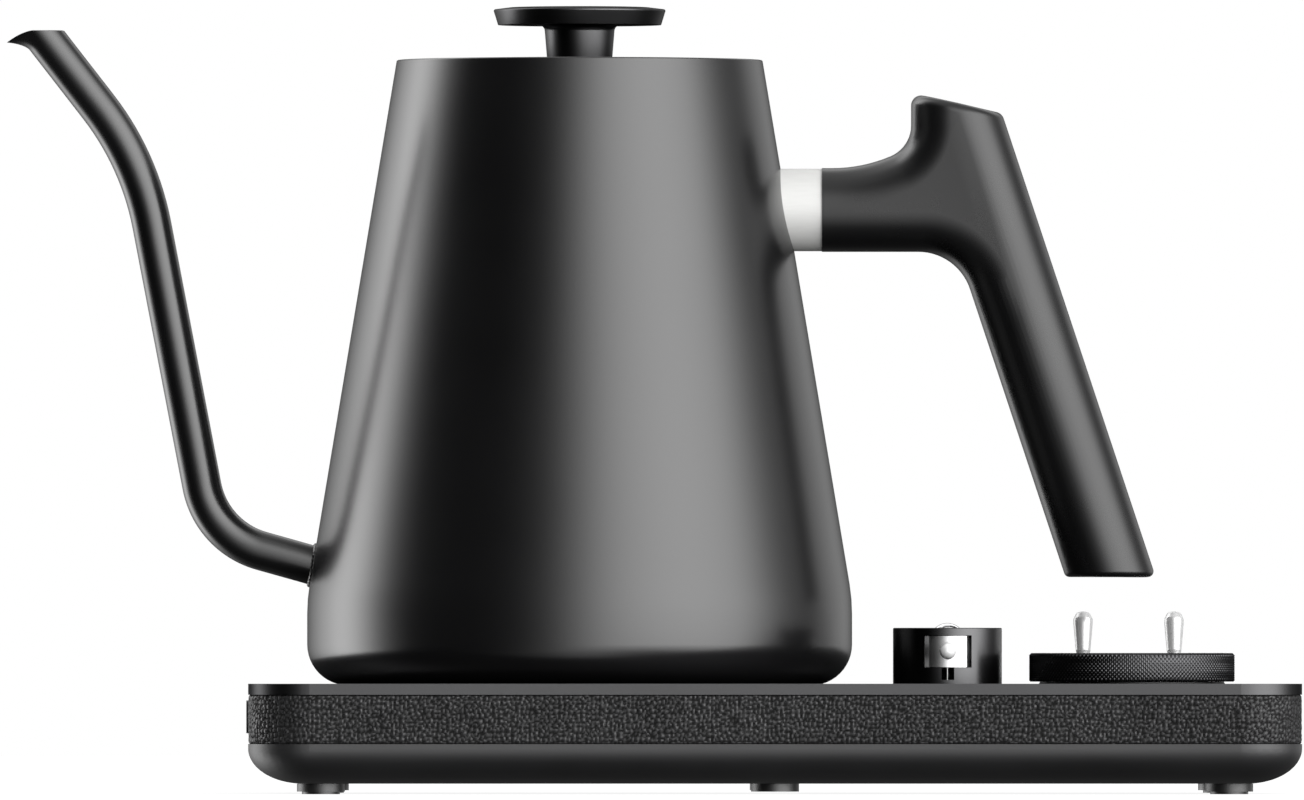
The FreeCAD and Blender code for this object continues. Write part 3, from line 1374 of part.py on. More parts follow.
def main():
    base_tray()
    leatherette_band()
    top_plate()
    feet()
    tray_screws()
    coupler()
    kettle_body()
    vessel()
    lid_seat()
    spout()
    handle_grip()
    handle_fittings()
    lid()
    drum_controls()
    dial()
    toggle_levers()
    cord_bushing()
    electronics()
    doc.recompute()
    for thing in doc.Objects:
        check(thing)
    parts = {t.Label: t for t in doc.Objects if t.Label in NODES}
    missing = [n for n in NODES if n not in parts]
    if missing:
        raise RuntimeError(f"no object for {missing}")
    for name in NODES:
        shape = parts[name].Shape
        if shape.isNull() or not shape.isValid() or not shape.Solids:
            raise RuntimeError(f"{name} has no valid solid")
    os.makedirs("parts", exist_ok=True)
    for name in NODES:
        parts[name].Shape.exportStep(f"parts/{name}.step")
    print(len(NODES), "parts written")


main()
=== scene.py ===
"""Finishes a gooseneck electric kettle: its skins, grain, knurling, materials and stage."""

import json
import math

import bmesh
import bpy
import numpy as np
from bpy.props import FloatProperty, FloatVectorProperty, IntProperty, PointerProperty
from bpy.types import Operator, Panel, PropertyGroup
from mathutils import Matrix, Vector


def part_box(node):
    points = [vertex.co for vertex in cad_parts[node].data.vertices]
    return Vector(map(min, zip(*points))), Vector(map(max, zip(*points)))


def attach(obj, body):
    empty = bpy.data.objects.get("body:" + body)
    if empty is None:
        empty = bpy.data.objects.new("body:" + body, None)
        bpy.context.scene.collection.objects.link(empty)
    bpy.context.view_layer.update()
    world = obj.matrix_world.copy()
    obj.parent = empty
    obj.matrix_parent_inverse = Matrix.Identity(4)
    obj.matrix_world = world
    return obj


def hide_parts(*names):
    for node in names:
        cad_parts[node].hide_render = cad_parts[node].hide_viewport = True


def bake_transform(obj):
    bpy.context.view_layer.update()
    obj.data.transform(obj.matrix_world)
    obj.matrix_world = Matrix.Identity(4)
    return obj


bl_info = {
    "name": "Gooseneck Kettle",
    "version": (1, 0, 0),
    "blender": (4, 5, 0),
    "location": "3D View > Sidebar > Kettle",
    "description": "Finishes a gooseneck kettle and its powered base, and sets their stage",
    "category": "Add Mesh",
}

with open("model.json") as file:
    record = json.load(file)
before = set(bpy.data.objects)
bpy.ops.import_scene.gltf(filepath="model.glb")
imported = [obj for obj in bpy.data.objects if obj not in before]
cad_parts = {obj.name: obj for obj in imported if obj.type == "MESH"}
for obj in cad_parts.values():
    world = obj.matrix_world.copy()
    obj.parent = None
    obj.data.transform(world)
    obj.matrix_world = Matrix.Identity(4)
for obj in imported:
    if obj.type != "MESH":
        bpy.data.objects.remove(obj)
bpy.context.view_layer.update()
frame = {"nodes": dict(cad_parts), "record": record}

MM = 0.001
SHARP_ANGLE = math.radians(32)
SOFT_ANGLE = math.radians(85)
ARC_STEP = math.radians(7.5)
FULL_TURN = 2 * math.pi
NEAR = 1e-6

# Spout: rise and height of its root, headings and lengths of its runs, points on its bends.
ROOT_RISE = math.radians(15.7)
ROOT_HEIGHT = 53.65 * MM
SPOUT_HEADINGS = (math.pi - ROOT_RISE, math.radians(90 + 10.86), math.radians(90 + 37.8))
SPOUT_RUNS = (15.9 * MM, 63.5 * MM, 18.0 * MM)
BEND_POINTS = (25, 15)
# Beak: cosine round the rim where it starts, powers of its draw and its drop, narrowing, tilt.
BEAK_START, BEAK_DRAW, BEAK_DROP, BEAK_NARROWING, BEAK_TILT = 0.24, 1.5, 1.3, 0.35, 0.05
# Lip: pull of its curve's two ends, rows of faces, inset of its inner wall and height of its crest.
CURL_LEAVING, CURL_ARRIVING = 0.7, 0.9
LIP_ROWS, CURL_ROWS = 5, 18
LIP_INSET, LIP_CREST = 0.35 * MM, 0.1 * MM
BEAD_RIPPLE, BEAD_RIPPLES = 0.12, 30

# Grip caps: rings as shares of their radius, the screws' heads and the depth of their seats.
CAP_RINGS = (0.3, 0.6, 0.85, 0.96, 1.0, 1.0)
SCREW_HEAD, SEAT_DEPTH = 2.7 * MM, 1.2 * MM

# Leather, in widths of a pebble: scatter of the middles, range of heights, crease and dome.
PEBBLE_SCATTER, PEBBLE_HEIGHTS = (0.08, 0.92), (0.7, 1.0)
CREASE_WIDTH, DOME_RADIUS = 0.3, 0.85
PEBBLE_SEED = 7
TUCK_RUN, TUCK_DEPTH = 0.7 * MM, 0.35 * MM

# Dial: radius and depth of the nut's hollow and of the spindle's hole, and its lower edge.
NUT_HOLLOW, NUT_DEPTH = 9.0 * MM, 2.6 * MM
SPINDLE_HOLE, SPINDLE_END = 3.0 * MM, 1.8 * MM
DIAL_EDGE = 0.3 * MM
KNURL_STEEPNESS = 1.9
WASHER_WIDTH, WASHER_INSET = 9 * MM, 0.15 * MM
# Scale: its values, the angle of the first and the sweep from there, in degrees.
SCALE_VALUES = range(40, 101, 5)
SCALE_START, SCALE_SWEEP = 225, 270
TICK_LENGTH, TICK_WIDTH, PRINT_THICKNESS = 1.6 * MM, 0.28 * MM, 0.03 * MM

FLOOR_REACH = 4.0
FLOOR_GREY, FLOOR_GLOW = 0.9, 0.88
SENSOR_WIDTH = 36.0


def corners(node):
    """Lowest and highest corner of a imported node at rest."""
    low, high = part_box(node)
    return np.array(low, float), np.array(high, float)


body_low, body_high = corners("kettle_body")
band_low, band_high = corners("leatherette_band")
dial_low, dial_high = corners("dial")
spout_low, spout_high = corners("spout")
ring_low, ring_high = corners("neck_ring")
screws_low, screws_high = corners("handle_screws")
grip_depth = float(corners("handle_grip")[1][1])
body_axis_x = float(sum(corners("kettle_underside"))[0] / 2)
body_radius = float(body_high[1])


# ---- properties ----


def length(description, size):
    """A length, given in millimetres and kept in metres."""
    kind = {"subtype": "DISTANCE", "unit": "LENGTH"}
    return FloatProperty(description=description, default=size * MM, min=0.0, precision=5, **kind)


def colour(description, default):
    return FloatVectorProperty(
        description=description, default=default, size=3, min=0.0, max=1.0, subtype="COLOR"
    )


def count(description, default, low=12):
    return IntProperty(description=description, default=default, min=low)


def labelled(group):
    """Labels each of a group's properties with its own name in words."""
    for key, value in group.__annotations__.items():
        value.keywords["name"] = key.replace("_", " ").capitalize()
    return group


@labelled
class KettleBodySizes(PropertyGroup):
    rim_radius: length("Radius of the body at its rim", 43.7)
    shoulder: length("Where the cone meets the straight foot", 46.5)
    edge: length("Rounding of the lower edge", 9.8)
    blend: length("Rounding between the cone and the foot", 44.0)
    wall: length("Thickness of the spun wall", 0.9)
    lip: length("Radius of the opening underneath", 52.0)
    columns: count("Faces round the body", 256, 24)


@labelled
class SpoutSizes(PropertyGroup):
    radius: length("Outside radius of the tube", 4.68)
    bore: length("Inside radius of the tube", 4.0)
    low_bend: length("Radius of the bend near the body", 20.0)
    high_bend: length("Radius of the bend near the mouth", 66.6)
    beak_drop: length("How far the beak's tip is below the mouth", 2.8)
    lip_run: length("From the last plain ring to the mouth", 8.0)
    curl: length("How far below the mouth the beak's curl begins", 4.6)
    bead: length("Radius of the weld bead at the root", 0.6)
    columns: count("Faces round the tube", 64)


@labelled
class GripSizes(PropertyGroup):
    lean: FloatProperty(description="From upright", default=math.radians(18.34), subtype="ANGLE")
    foot_x: length("Middle of the bar at the foot line", 111.8)
    foot_z: length("Height of the foot line", 45.0)
    half_width: length("Half the bar's width across its lean", 10.25)
    rounding: length("Radius of the moulding's long edges", 9.5)
    under_end: length("From the foot line to the end of the bend under the arm", 82.0)
    change: length("Run over which the bar turns fully round", 11.0)
    cap: length("Radius of a cap over a grip screw", 2.9)
    cap_height: length("From the arm's underside to the cap's inner face", 1.1)


@labelled
class BandSizes(PropertyGroup):
    corner: length("Radius of the base's upright corners", 14.7)
    thickness: length("Thickness of the leatherette", 1.0)
    pebble: length("Mean width of a pebble of the grain", 1.1)
    relief: length("Height of a pebble over its creases", 0.42)
    step: length("Width of a face of the grain", 0.32)


@labelled
class DialSizes(PropertyGroup):
    bevel: length("Bevel of the upper edge", 0.5)
    knurls: count("Diamonds round the dial", 150)
    knurl_depth: length("Depth of the cuts between the diamonds", 0.3)
    rim: length("Width of the flat ring with the scale", 5.2)
    step: length("Depth of the disc inside the ring", 0.6)
    figure: length("Height of the scale's figures", 2.5)


@labelled
class Finishes(PropertyGroup):
    coat: colour("Satin black coat on the metal", (0.0032, 0.0032, 0.0034))
    coat_roughness: FloatProperty(description="Of the black coat", default=0.25, min=0.0, max=1.0)
    grip: colour("Moulded grip and its caps", (0.004, 0.004, 0.0042))
    leather: colour("Pebbled band", (0.0075, 0.0075, 0.008))
    tray: colour("Moulded tray and trim", (0.0075, 0.0075, 0.008))
    silver: colour("Painted neck ring", (0.43, 0.43, 0.422))
    nickel: colour("Toggle levers", (0.38, 0.38, 0.38))
    chrome: colour("Selector and button", (0.82, 0.82, 0.83))
    steel: colour("Fittings", (0.56, 0.57, 0.58))


@labelled
class StageSettings(PropertyGroup):
    key: FloatProperty(description="Radiance of the key light", default=7.7, min=0.0)
    distance: length("From the camera to the kettle", 8000.0)
    near: length("From the kettle's axis forward to where the width holds", 35.0)
    view_width: length("Width of the view at that plane", 310.2)
    horizon: length("Height of the camera over the table", 26.2)
    aim: length("Height of the middle of the view", 94.0)


# ---- mesh helpers ----


def rounded(points, radii, closed=False):
    """A polyline whose corners are replaced by tangent arcs of the given radii."""
    points = np.asarray(points, float)
    last = len(points) - 1
    out = []
    for i, (corner, radius) in enumerate(zip(points, radii)):
        if radius <= 0 or (not closed and i in (0, last)):
            out.append(corner[None])
            continue
        back = points[i - 1] - corner
        ahead = points[(i + 1) % (last + 1)] - corner
        back, ahead = back / np.linalg.norm(back), ahead / np.linalg.norm(ahead)
        half = math.acos(float(np.clip(back @ ahead, -1, 1))) / 2
        bisector = (back + ahead) / np.linalg.norm(back + ahead)
        centre = corner + bisector * (radius / math.sin(half))
        start = corner + back * (radius / math.tan(half)) - centre
        end = corner + ahead * (radius / math.tan(half)) - centre
        sweep = math.pi - 2 * half
        turn = np.linspace(0, 1, max(3, math.ceil(sweep / ARC_STEP) + 1))[:, None] * sweep
        arc = (np.sin(sweep - turn) * start + np.sin(turn) * end) / math.sin(sweep)
        out.append(centre + arc)
    return np.concatenate(out)


def grid_faces(rows, columns, wrap_rows):
    """Quads between the rows of a grid whose columns close round."""
    row = np.arange(rows if wrap_rows else rows - 1)
    column = np.arange(columns)
    r, c = np.meshgrid(row, column, indexing="ij")
    r2, c2 = (r + 1) % rows, (c + 1) % columns
    quads = np.stack([r * columns + c, r * columns + c2, r2 * columns + c2, r2 * columns + c], axis=-1)
    return quads.reshape(-1, 4)


def mesh_from_grid(name, points, wrap_rows=False, first_pole=None, last_pole=None):
    """A mesh over a grid of rows and closed columns, with a pole at an end that has one."""
    rows, columns = points.shape[:2]
    verts = points.reshape(-1, 3)
    faces = grid_faces(rows, columns, wrap_rows).tolist()
    ring = np.arange(columns)
    for pole, start in ((first_pole, 0), (last_pole, (rows - 1) * columns)):
        if pole is None:
            continue
        tip = len(verts)
        verts = np.concatenate([verts, np.array(pole, float)[None]])
        fan = np.stack([start + ring, start + (ring + 1) % columns, np.full(columns, tip)], axis=-1)
        faces += fan.tolist()
    mesh = bpy.data.meshes.new(name)
    mesh.from_pydata(verts.tolist(), [], faces)
    return mesh


def tidy_mesh(mesh, sharp):
    """Turns the faces outwards and shades them smooth, but for edges past the sharp angle."""
    made = bmesh.new()
    made.from_mesh(mesh)
    bmesh.ops.remove_doubles(made, verts=made.verts, dist=1e-7)
    bmesh.ops.recalc_face_normals(made, faces=made.faces)
    made.to_mesh(mesh)
    made.free()
    mesh.shade_smooth()
    mesh.set_sharp_from_angle(angle=sharp)
    mesh.update()


def turned_points(profile, centre, columns):
    """Grid of a profile of (radius, height) points turned about an upright axis."""
    turn = np.linspace(0, FULL_TURN, columns, endpoint=False)
    radius, height = profile[:, 0, None], profile[:, 1, None]
    x = centre[0] + radius * np.cos(turn)
    y = centre[1] + radius * np.sin(turn)
    return np.stack([x, y, np.broadcast_to(height, x.shape)], axis=-1)


def turned_mesh(name, profile, centre, columns):
    """A turned solid whose profile is a ring."""
    return mesh_from_grid(name, turned_points(profile, centre, columns), wrap_rows=True)


def packed_copy(node, name, cuts=()):
    """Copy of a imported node's mesh, joined up and cut along planes given as a place and a normal."""
    made = bmesh.new()
    made.from_mesh(frame["nodes"][node].data)
    bmesh.ops.remove_doubles(made, verts=made.verts, dist=NEAR)
    for place, normal in cuts:
        geometry = made.verts[:] + made.edges[:] + made.faces[:]
        bmesh.ops.bisect_plane(made, geom=geometry, dist=1e-8, plane_co=place, plane_no=normal)
    mesh = bpy.data.meshes.new(name)
    made.to_mesh(mesh)
    made.free()
    if "custom_normal" in mesh.attributes:
        mesh.attributes.remove(mesh.attributes["custom_normal"])
    return mesh


def linked(name, data):
    """A new object in the scene."""
    new = bpy.data.objects.new(name, data)
    bpy.context.scene.collection.objects.link(new)
    return new


def add_piece(mesh, body, slot, *nodes, material=None, sharp=SHARP_ANGLE):
    """Links a finished mesh as a piece that rides a body and stands for CAD nodes.

    It wears its slot's material unless it is given its own."""
    tidy_mesh(mesh, sharp)
    mesh.materials.append(material or all_materials()[slot])
    piece = linked(mesh.name, mesh)
    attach(piece, body)
    if nodes:
        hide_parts(*nodes)


def base_outline(low, high, corner, step):
    """Points and outward normals round a rounded rectangle, evenly spaced, from its right end.

    Each quarter is a side and the arc after it: a point of the core slides along the side, and the
    outward direction turns once it has reached the end."""
    centre, inner = (high + low)[:2] / 2, (high - low)[:2] / 2 - corner
    quarters = 2 * inner[::-1] + corner * math.pi / 2
    total = 2 * quarters.sum()
    number = int(round(total / step / 4)) * 4
    along = np.arange(number) * total / number
    points, normals = np.zeros((number, 2)), np.zeros((number, 2))
    start = 0.0
    for quarter in range(4):
        reach, run = inner[quarter % 2], inner[1 - quarter % 2]
        here = (along >= start) & (along < start + quarters[quarter % 2])
        past = along[here] - start
        first = quarter * math.pi / 2
        normal = np.array([math.cos(first), math.sin(first)])
        tangent = np.array([-normal[1], normal[0]])
        turn = first + np.maximum(past - 2 * run, 0) / corner
        normals[here] = np.stack([np.cos(turn), np.sin(turn)], axis=1)
        slide = (np.minimum(past, 2 * run) - run)[:, None]
        points[here] = centre + normal * reach + tangent * slide + normals[here] * corner
        start += quarters[quarter % 2]
    return points, normals, along, total


# ---- shader helpers ----


def shader_node(tree, kind, settings=None, **inputs):
    """Adds a node, sets its settings, and sets or links its named inputs."""
    node = tree.nodes.new("ShaderNode" + kind)
    for key, value in (settings or {}).items():
        setattr(node, key, value)
    for name, value in inputs.items():
        put(tree, node.inputs[name.replace("_", " ")], value)
    return node


def put(tree, socket, value):
    if isinstance(value, bpy.types.NodeSocket):
        tree.links.new(value, socket)
    else:
        socket.default_value = value


def maths(tree, operation, *values):
    node = shader_node(tree, "Math")
    node.operation = operation
    for i, value in enumerate(values):
        put(tree, node.inputs[i], value)
    return node.outputs[0]


def spread(tree, value, low, high, new_low, new_high):
    """Maps a value from one range to another, held at its ends."""
    node = shader_node(tree, "MapRange")
    for i, item in enumerate((value, low, high, new_low, new_high)):
        put(tree, node.inputs[i], item)
    return node.outputs[0]


def mixed(tree, share, low, high):
    """Blends two colours by a share from 0 to 1."""
    node = shader_node(tree, "Mix")
    node.data_type = "RGBA"
    put(tree, node.inputs["Factor"], share)
    for name, value in (("A", low), ("B", high)):
        put(tree, next(s for s in node.inputs if s.name == name and s.type == "RGBA"), value)
    return next(s for s in node.outputs if s.type == "RGBA")


def rgba(value, scale=1.0):
    return tuple(float(v) * scale for v in value[:3]) + (1.0,)


def new_group(name, inputs, outputs):
    """A shader node group with named float inputs and outputs."""
    tree = bpy.data.node_groups.new(name, "ShaderNodeTree")
    for label, default in inputs.items():
        socket = tree.interface.new_socket(label, in_out="INPUT", socket_type="NodeSocketFloat")
        socket.default_value = default
    for label in outputs:
        tree.interface.new_socket(label, in_out="OUTPUT", socket_type="NodeSocketFloat")
    return tree, tree.nodes.new("NodeGroupInput"), tree.nodes.new("NodeGroupOutput")


def grain_group():
    """Fine coat grain with slow patches: a height for bump and a roughness that wanders."""
    name = "coat grain"
    if name in bpy.data.node_groups:
        return bpy.data.node_groups[name]
    inputs = {"Scale": 1500.0, "Roughness": 0.3, "Wander": 0.03, "Patch": 30.0}
    tree, inn, out = new_group(name, inputs, ("Height", "Roughness", "Patches"))
    place = shader_node(tree, "TexCoord").outputs["Object"]
    fine = shader_node(tree, "TexNoise", Vector=place, Scale=inn.outputs["Scale"], Detail=2.0)
    slow = shader_node(tree, "TexNoise", Vector=place, Scale=inn.outputs["Patch"], Detail=4.0)
    patches = spread(tree, slow.outputs["Fac"], 0.1, 0.9, -1.6, 1.6)
    slow_part = maths(tree, "MULTIPLY", patches, 0.7)
    both = maths(tree, "MULTIPLY_ADD", fine.outputs["Fac"], 0.6, slow_part)
    rough = maths(tree, "MULTIPLY_ADD", both, inn.outputs["Wander"], inn.outputs["Roughness"])
    put(tree, out.inputs["Height"], fine.outputs["Fac"])
    put(tree, out.inputs["Roughness"], rough)
    put(tree, out.inputs["Patches"], spread(tree, slow.outputs["Fac"], 0.15, 0.85, 0.0, 1.0))
    return tree


def brushed_group():
    """Fine lines drawn out along one direction: a height and a roughness for worked metal."""
    name = "brushed lines"
    if name in bpy.data.node_groups:
        return bpy.data.node_groups[name]
    inputs = {"Across": 4000.0, "Along": 60.0, "Roughness": 0.3, "Wander": 0.08}
    tree, inn, out = new_group(name, inputs, ("Height", "Roughness"))
    place = shader_node(tree, "TexCoord").outputs["Object"]
    axes = shader_node(tree, "SeparateXYZ", Vector=place)
    stretched = shader_node(tree, "CombineXYZ")
    for i, along in enumerate(("Along", "Along", "Across")):
        scaled = maths(tree, "MULTIPLY", axes.outputs[i], inn.outputs[along])
        put(tree, stretched.inputs[i], scaled)
    lines = shader_node(tree, "TexNoise", Vector=stretched.outputs[0], Scale=1.0, Detail=3.0)
    centred = maths(tree, "SUBTRACT", lines.outputs["Fac"], 0.5)
    put(tree, out.inputs["Height"], lines.outputs["Fac"])
    rough = maths(tree, "MULTIPLY_ADD", centred, inn.outputs["Wander"], inn.outputs["Roughness"])
    put(tree, out.inputs["Roughness"], rough)
    return tree


def new_material(name):
    material = bpy.data.materials.new(name)
    material.use_nodes = True
    return material, material.node_tree


def dress(tree, **sockets):
    """Sets or links sockets of a material's shader."""
    for name, value in sockets.items():
        put(tree, tree.nodes["Principled BSDF"].inputs[name.replace("_", " ")], value)


def bump(tree, height, strength, distance=0.1):
    """Normal of a bump whose distance is in millimetres."""
    return shader_node(tree, "Bump", Height=height, Strength=strength, Distance=distance * MM).outputs[0]


# Grains: scale, wander of the roughness, strength and distance in mm of the bump, scale of the patches.
PLAIN = (1500, 0.03, 0.004, 0.2, 30)
COAT = (1400, 0.02, 0.05, 0.1, 30)
PLATE = (1400, 0.03, 0.06, 0.1, 30)
KNOB = (2600, 0.03, 0.04, 0.1, 30)
GRIP = (2600, 0.03, 0.04, 0.1, 45)
MOULDING = (1800, 0.05, 0.12, 0.1, 40)
RUBBER = (900, 0.08, 0.1, 0.1, 60)
POLISH = (60, 0.03, 0.002, 0.1, 200)
CAST = (900, 0.1, 0.2, 0.1, 60)
BOARD = (700, 0.1, 0.1, 0.1, 200)
LENS = (800, 0.05, 0.02, 0.2, 30)
NICKEL = (900, 0.06, 0.02, 0.1, 150)
BALL = (700, 0.05, 0.03, 0.1, 90)
HUB = (700, 0.04, 0.02, 0.1, 90)
WHEEL = (1500, 0.03, 0.05, 0.1, 30)
INK = (2500, 0.05, 0.05, 0.1, 30)


def grained(name, base, roughness, grain=PLAIN, tint=0.25, metallic=0.0, specular=0.5):
    """A coat or moulding: fine grain in its bump and roughness, slow patches in its colour."""
    material, tree = new_material(name)
    scale, wander, relief, distance, patch = grain
    values = {"Scale": scale, "Roughness": roughness, "Wander": wander, "Patch": patch}
    made = shader_node(tree, "Group", {"node_tree": grain_group()}, **values)
    dress(
        tree,
        Base_Color=mixed(tree, made.outputs["Patches"], rgba(base, 1 - tint), rgba(base, 1 + tint)),
        Roughness=made.outputs["Roughness"],
        Normal=bump(tree, made.outputs["Height"], relief, distance),
        Metallic=metallic,
        Specular_IOR_Level=specular,
    )
    return material


def anodised(name, base, roughness, edge, grain):
    """Dark metal whose shine doesn't rise as much at a low angle: edge is its tint there."""
    material = grained(name, base, roughness, grain, tint=0.06, metallic=1.0)
    dress(material.node_tree, Specular_Tint=(edge, edge, edge, 1))
    return material


def knurled(name, low, high, roughness, edge):
    """Dark metal with painted shade in its knurl: the mesh's knurl attribute is 0 in the cuts, which get
    the darker colour, and 1 on the points.
    """
    material = anodised(name, high, roughness, edge, WHEEL)
    tree = material.node_tree
    painted_light_share = shader_node(tree, "Attribute", {"attribute_name": "knurl"}).outputs["Fac"]
    # Painted shade: the knurl's cuts take the low colour, the points the high one.
    dress(tree, Base_Color=mixed(tree, painted_light_share, (low, low, low, 1), rgba(high)))
    return material


def brushed(name, base, roughness, across=4000.0, along=60.0, metallic=1.0):
    """Bare worked metal with fine lines."""
    material, tree = new_material(name)
    values = {"Across": across, "Along": along, "Roughness": roughness, "Wander": 0.1}
    lines = shader_node(tree, "Group", {"node_tree": brushed_group()}, **values)
    dress(
        tree,
        Base_Color=mixed(tree, lines.outputs["Height"], rgba(base, 0.93), rgba(base, 1.05)),
        Roughness=lines.outputs["Roughness"],
        Normal=bump(tree, lines.outputs["Height"], 0.05),
        Metallic=metallic,
    )
    return material


def leatherette(name, base):
    """Pebbled leatherette with painted shade in its creases: there the colour is darker, and the finish
    duller, than on the pebbles' tops.
    """
    material, tree = new_material(name)
    pebble = shader_node(tree, "Attribute", {"attribute_name": "pebble"}).outputs["Fac"]
    values = {"Scale": 4200.0, "Roughness": 0.36, "Wander": 0.1, "Patch": 90.0}
    grain = shader_node(tree, "Group", {"node_tree": grain_group()}, **values)
    # Painted shade: the colour drops from the pebbles' tops to a fiftieth of the base in the creases.
    painted_light_share = spread(tree, pebble, 0.2, 0.9, 0.0, 1.0)
    duller = spread(tree, pebble, 0.25, 0.95, 0.55, -0.08)
    dress(
        tree,
        Base_Color=mixed(tree, painted_light_share, rgba(base, 0.02), rgba(base, 1.3)),
        Roughness=maths(tree, "ADD", grain.outputs["Roughness"], duller),
        Normal=bump(tree, grain.outputs["Height"], 0.25),
        Specular_IOR_Level=0.33,
    )
    return material


def all_materials():
    """One material for each slot of the record, made once."""
    if "satin black coat" in bpy.data.materials:
        return {m["slot"]: m for m in bpy.data.materials if "slot" in m}
    f = bpy.context.scene.kettle_finishes
    made = {
        "black_metal": grained("satin black coat", f.coat, f.coat_roughness, COAT),
        "grip_black": grained("grip moulding", f.grip, 0.27, GRIP, specular=0.34),
        "matte_black": grained("tray moulding", f.tray, 0.46, MOULDING),
        "leatherette": leatherette("pebbled leatherette", f.leather),
        "rubber": grained("foot rubber", (0.012, 0.012, 0.012), 0.34, RUBBER),
        "chrome": grained("polished chrome", f.chrome, 0.13, POLISH, 0.03, 1.0),
        "satin_silver": brushed("satin silver", f.silver, 0.55, 2200.0, 200.0, metallic=0.12),
        "steel": brushed("stainless steel", f.steel, 0.28, 2500.0, 90.0),
        "aluminium": grained("cast aluminium", (0.62, 0.62, 0.63), 0.45, CAST, 0.1, 1.0),
        "brass": brushed("contact brass", (0.72, 0.52, 0.22), 0.3),
        "board_green": grained("circuit board", (0.01, 0.09, 0.035), 0.4, BOARD, 0.4),
        "relay_blue": grained("relay case", (0.01, 0.05, 0.25), 0.3),
        "transformer_yellow": grained("transformer tape", (0.62, 0.45, 0.03), 0.45),
        "ribbon_grey": grained("flat cable", (0.4, 0.4, 0.4), 0.5),
        "lead_blue": grained("insulated lead", (0.03, 0.07, 0.3), 0.4),
        "lens": grained("diffusing lens", (0.75, 0.73, 0.68), 0.35, LENS),
    }
    for slot, material in made.items():
        material["slot"] = slot
    return made


def own_finishes():
    """Finishes of the nodes that differ from the rest of their slot."""
    f = bpy.context.scene.kettle_finishes
    nickel = grained("satin nickel", f.nickel, 0.27, NICKEL, 0.1, 0.35)
    plate = anodised("anodised plate", (0.046, 0.046, 0.047), 0.34, 0.34, PLATE)
    return {
        "power_toggle_lever": nickel,
        "hold_toggle_lever": nickel,
        "selector_lever": grained("turned ball", (0.66, 0.66, 0.66), 0.3, BALL, 0.1, 0.3),
        "selector_hub": grained("turned hub", (0.42, 0.42, 0.42), 0.17, HUB, 0.1, 0.94),
        "top_plate": plate,
        "lid_cover": plate,
        "start_drum": anodised("drum finish", (0.05, 0.05, 0.051), 0.25, 0.85, COAT),
        "coupler_tower": grained("coupler moulding", f.tray, 0.5, MOULDING, specular=0.12),
        "lid_knob": anodised("knob finish", (0.05, 0.05, 0.051), 0.27, 0.58, KNOB),
    }


# ---- pieces ----


def body_profile(sizes):
    """Wall of the kettle as a closed ring: outside up, over the rim, inside down, round the lip."""
    bottom, rim = float(body_low[2]), float(body_high[2])
    wall = sizes.wall
    outer, inner = body_radius, body_radius - wall
    points = [
        (sizes.lip, bottom),
        (outer, bottom),
        (outer, sizes.shoulder),
        (sizes.rim_radius, rim),
        (sizes.rim_radius - wall, rim),
        (inner, sizes.shoulder),
        (inner, bottom + wall),
        (sizes.lip, bottom + wall),
    ]
    edge = sizes.edge
    lip, rim_edge = wall * 0.3, wall * 0.48
    radii = (lip, edge, sizes.blend, rim_edge, rim_edge, sizes.blend, edge - wall, lip)
    return rounded(points, radii, closed=True)


def spout_path(sizes):
    """Middle line of the tube from just inside the body: straight runs joined by arcs.

    Gives its points, and its heading at each of them."""
    here = np.array([float(spout_high[0]) - sizes.radius * math.sin(ROOT_RISE), ROOT_HEIGHT])
    points, angles = [here], [SPOUT_HEADINGS[0]]
    for i, (heading, run) in enumerate(zip(SPOUT_HEADINGS, SPOUT_RUNS)):
        ahead = np.array([math.cos(heading), math.sin(heading)])
        here = here + ahead * run
        points.append(here)
        angles.append(heading)
        if i == len(BEND_POINTS):
            break
        bend = (sizes.low_bend, sizes.high_bend)[i]
        side = math.copysign(1.0, SPOUT_HEADINGS[i + 1] - heading)
        centre = here + np.array([-ahead[1], ahead[0]]) * side * bend
        for turn in np.linspace(heading, SPOUT_HEADINGS[i + 1], BEND_POINTS[i])[1:]:
            here = centre + np.array([math.sin(turn), -math.cos(turn)]) * side * bend
            points.append(here)
            angles.append(turn)
    return np.array(points), np.array(angles)


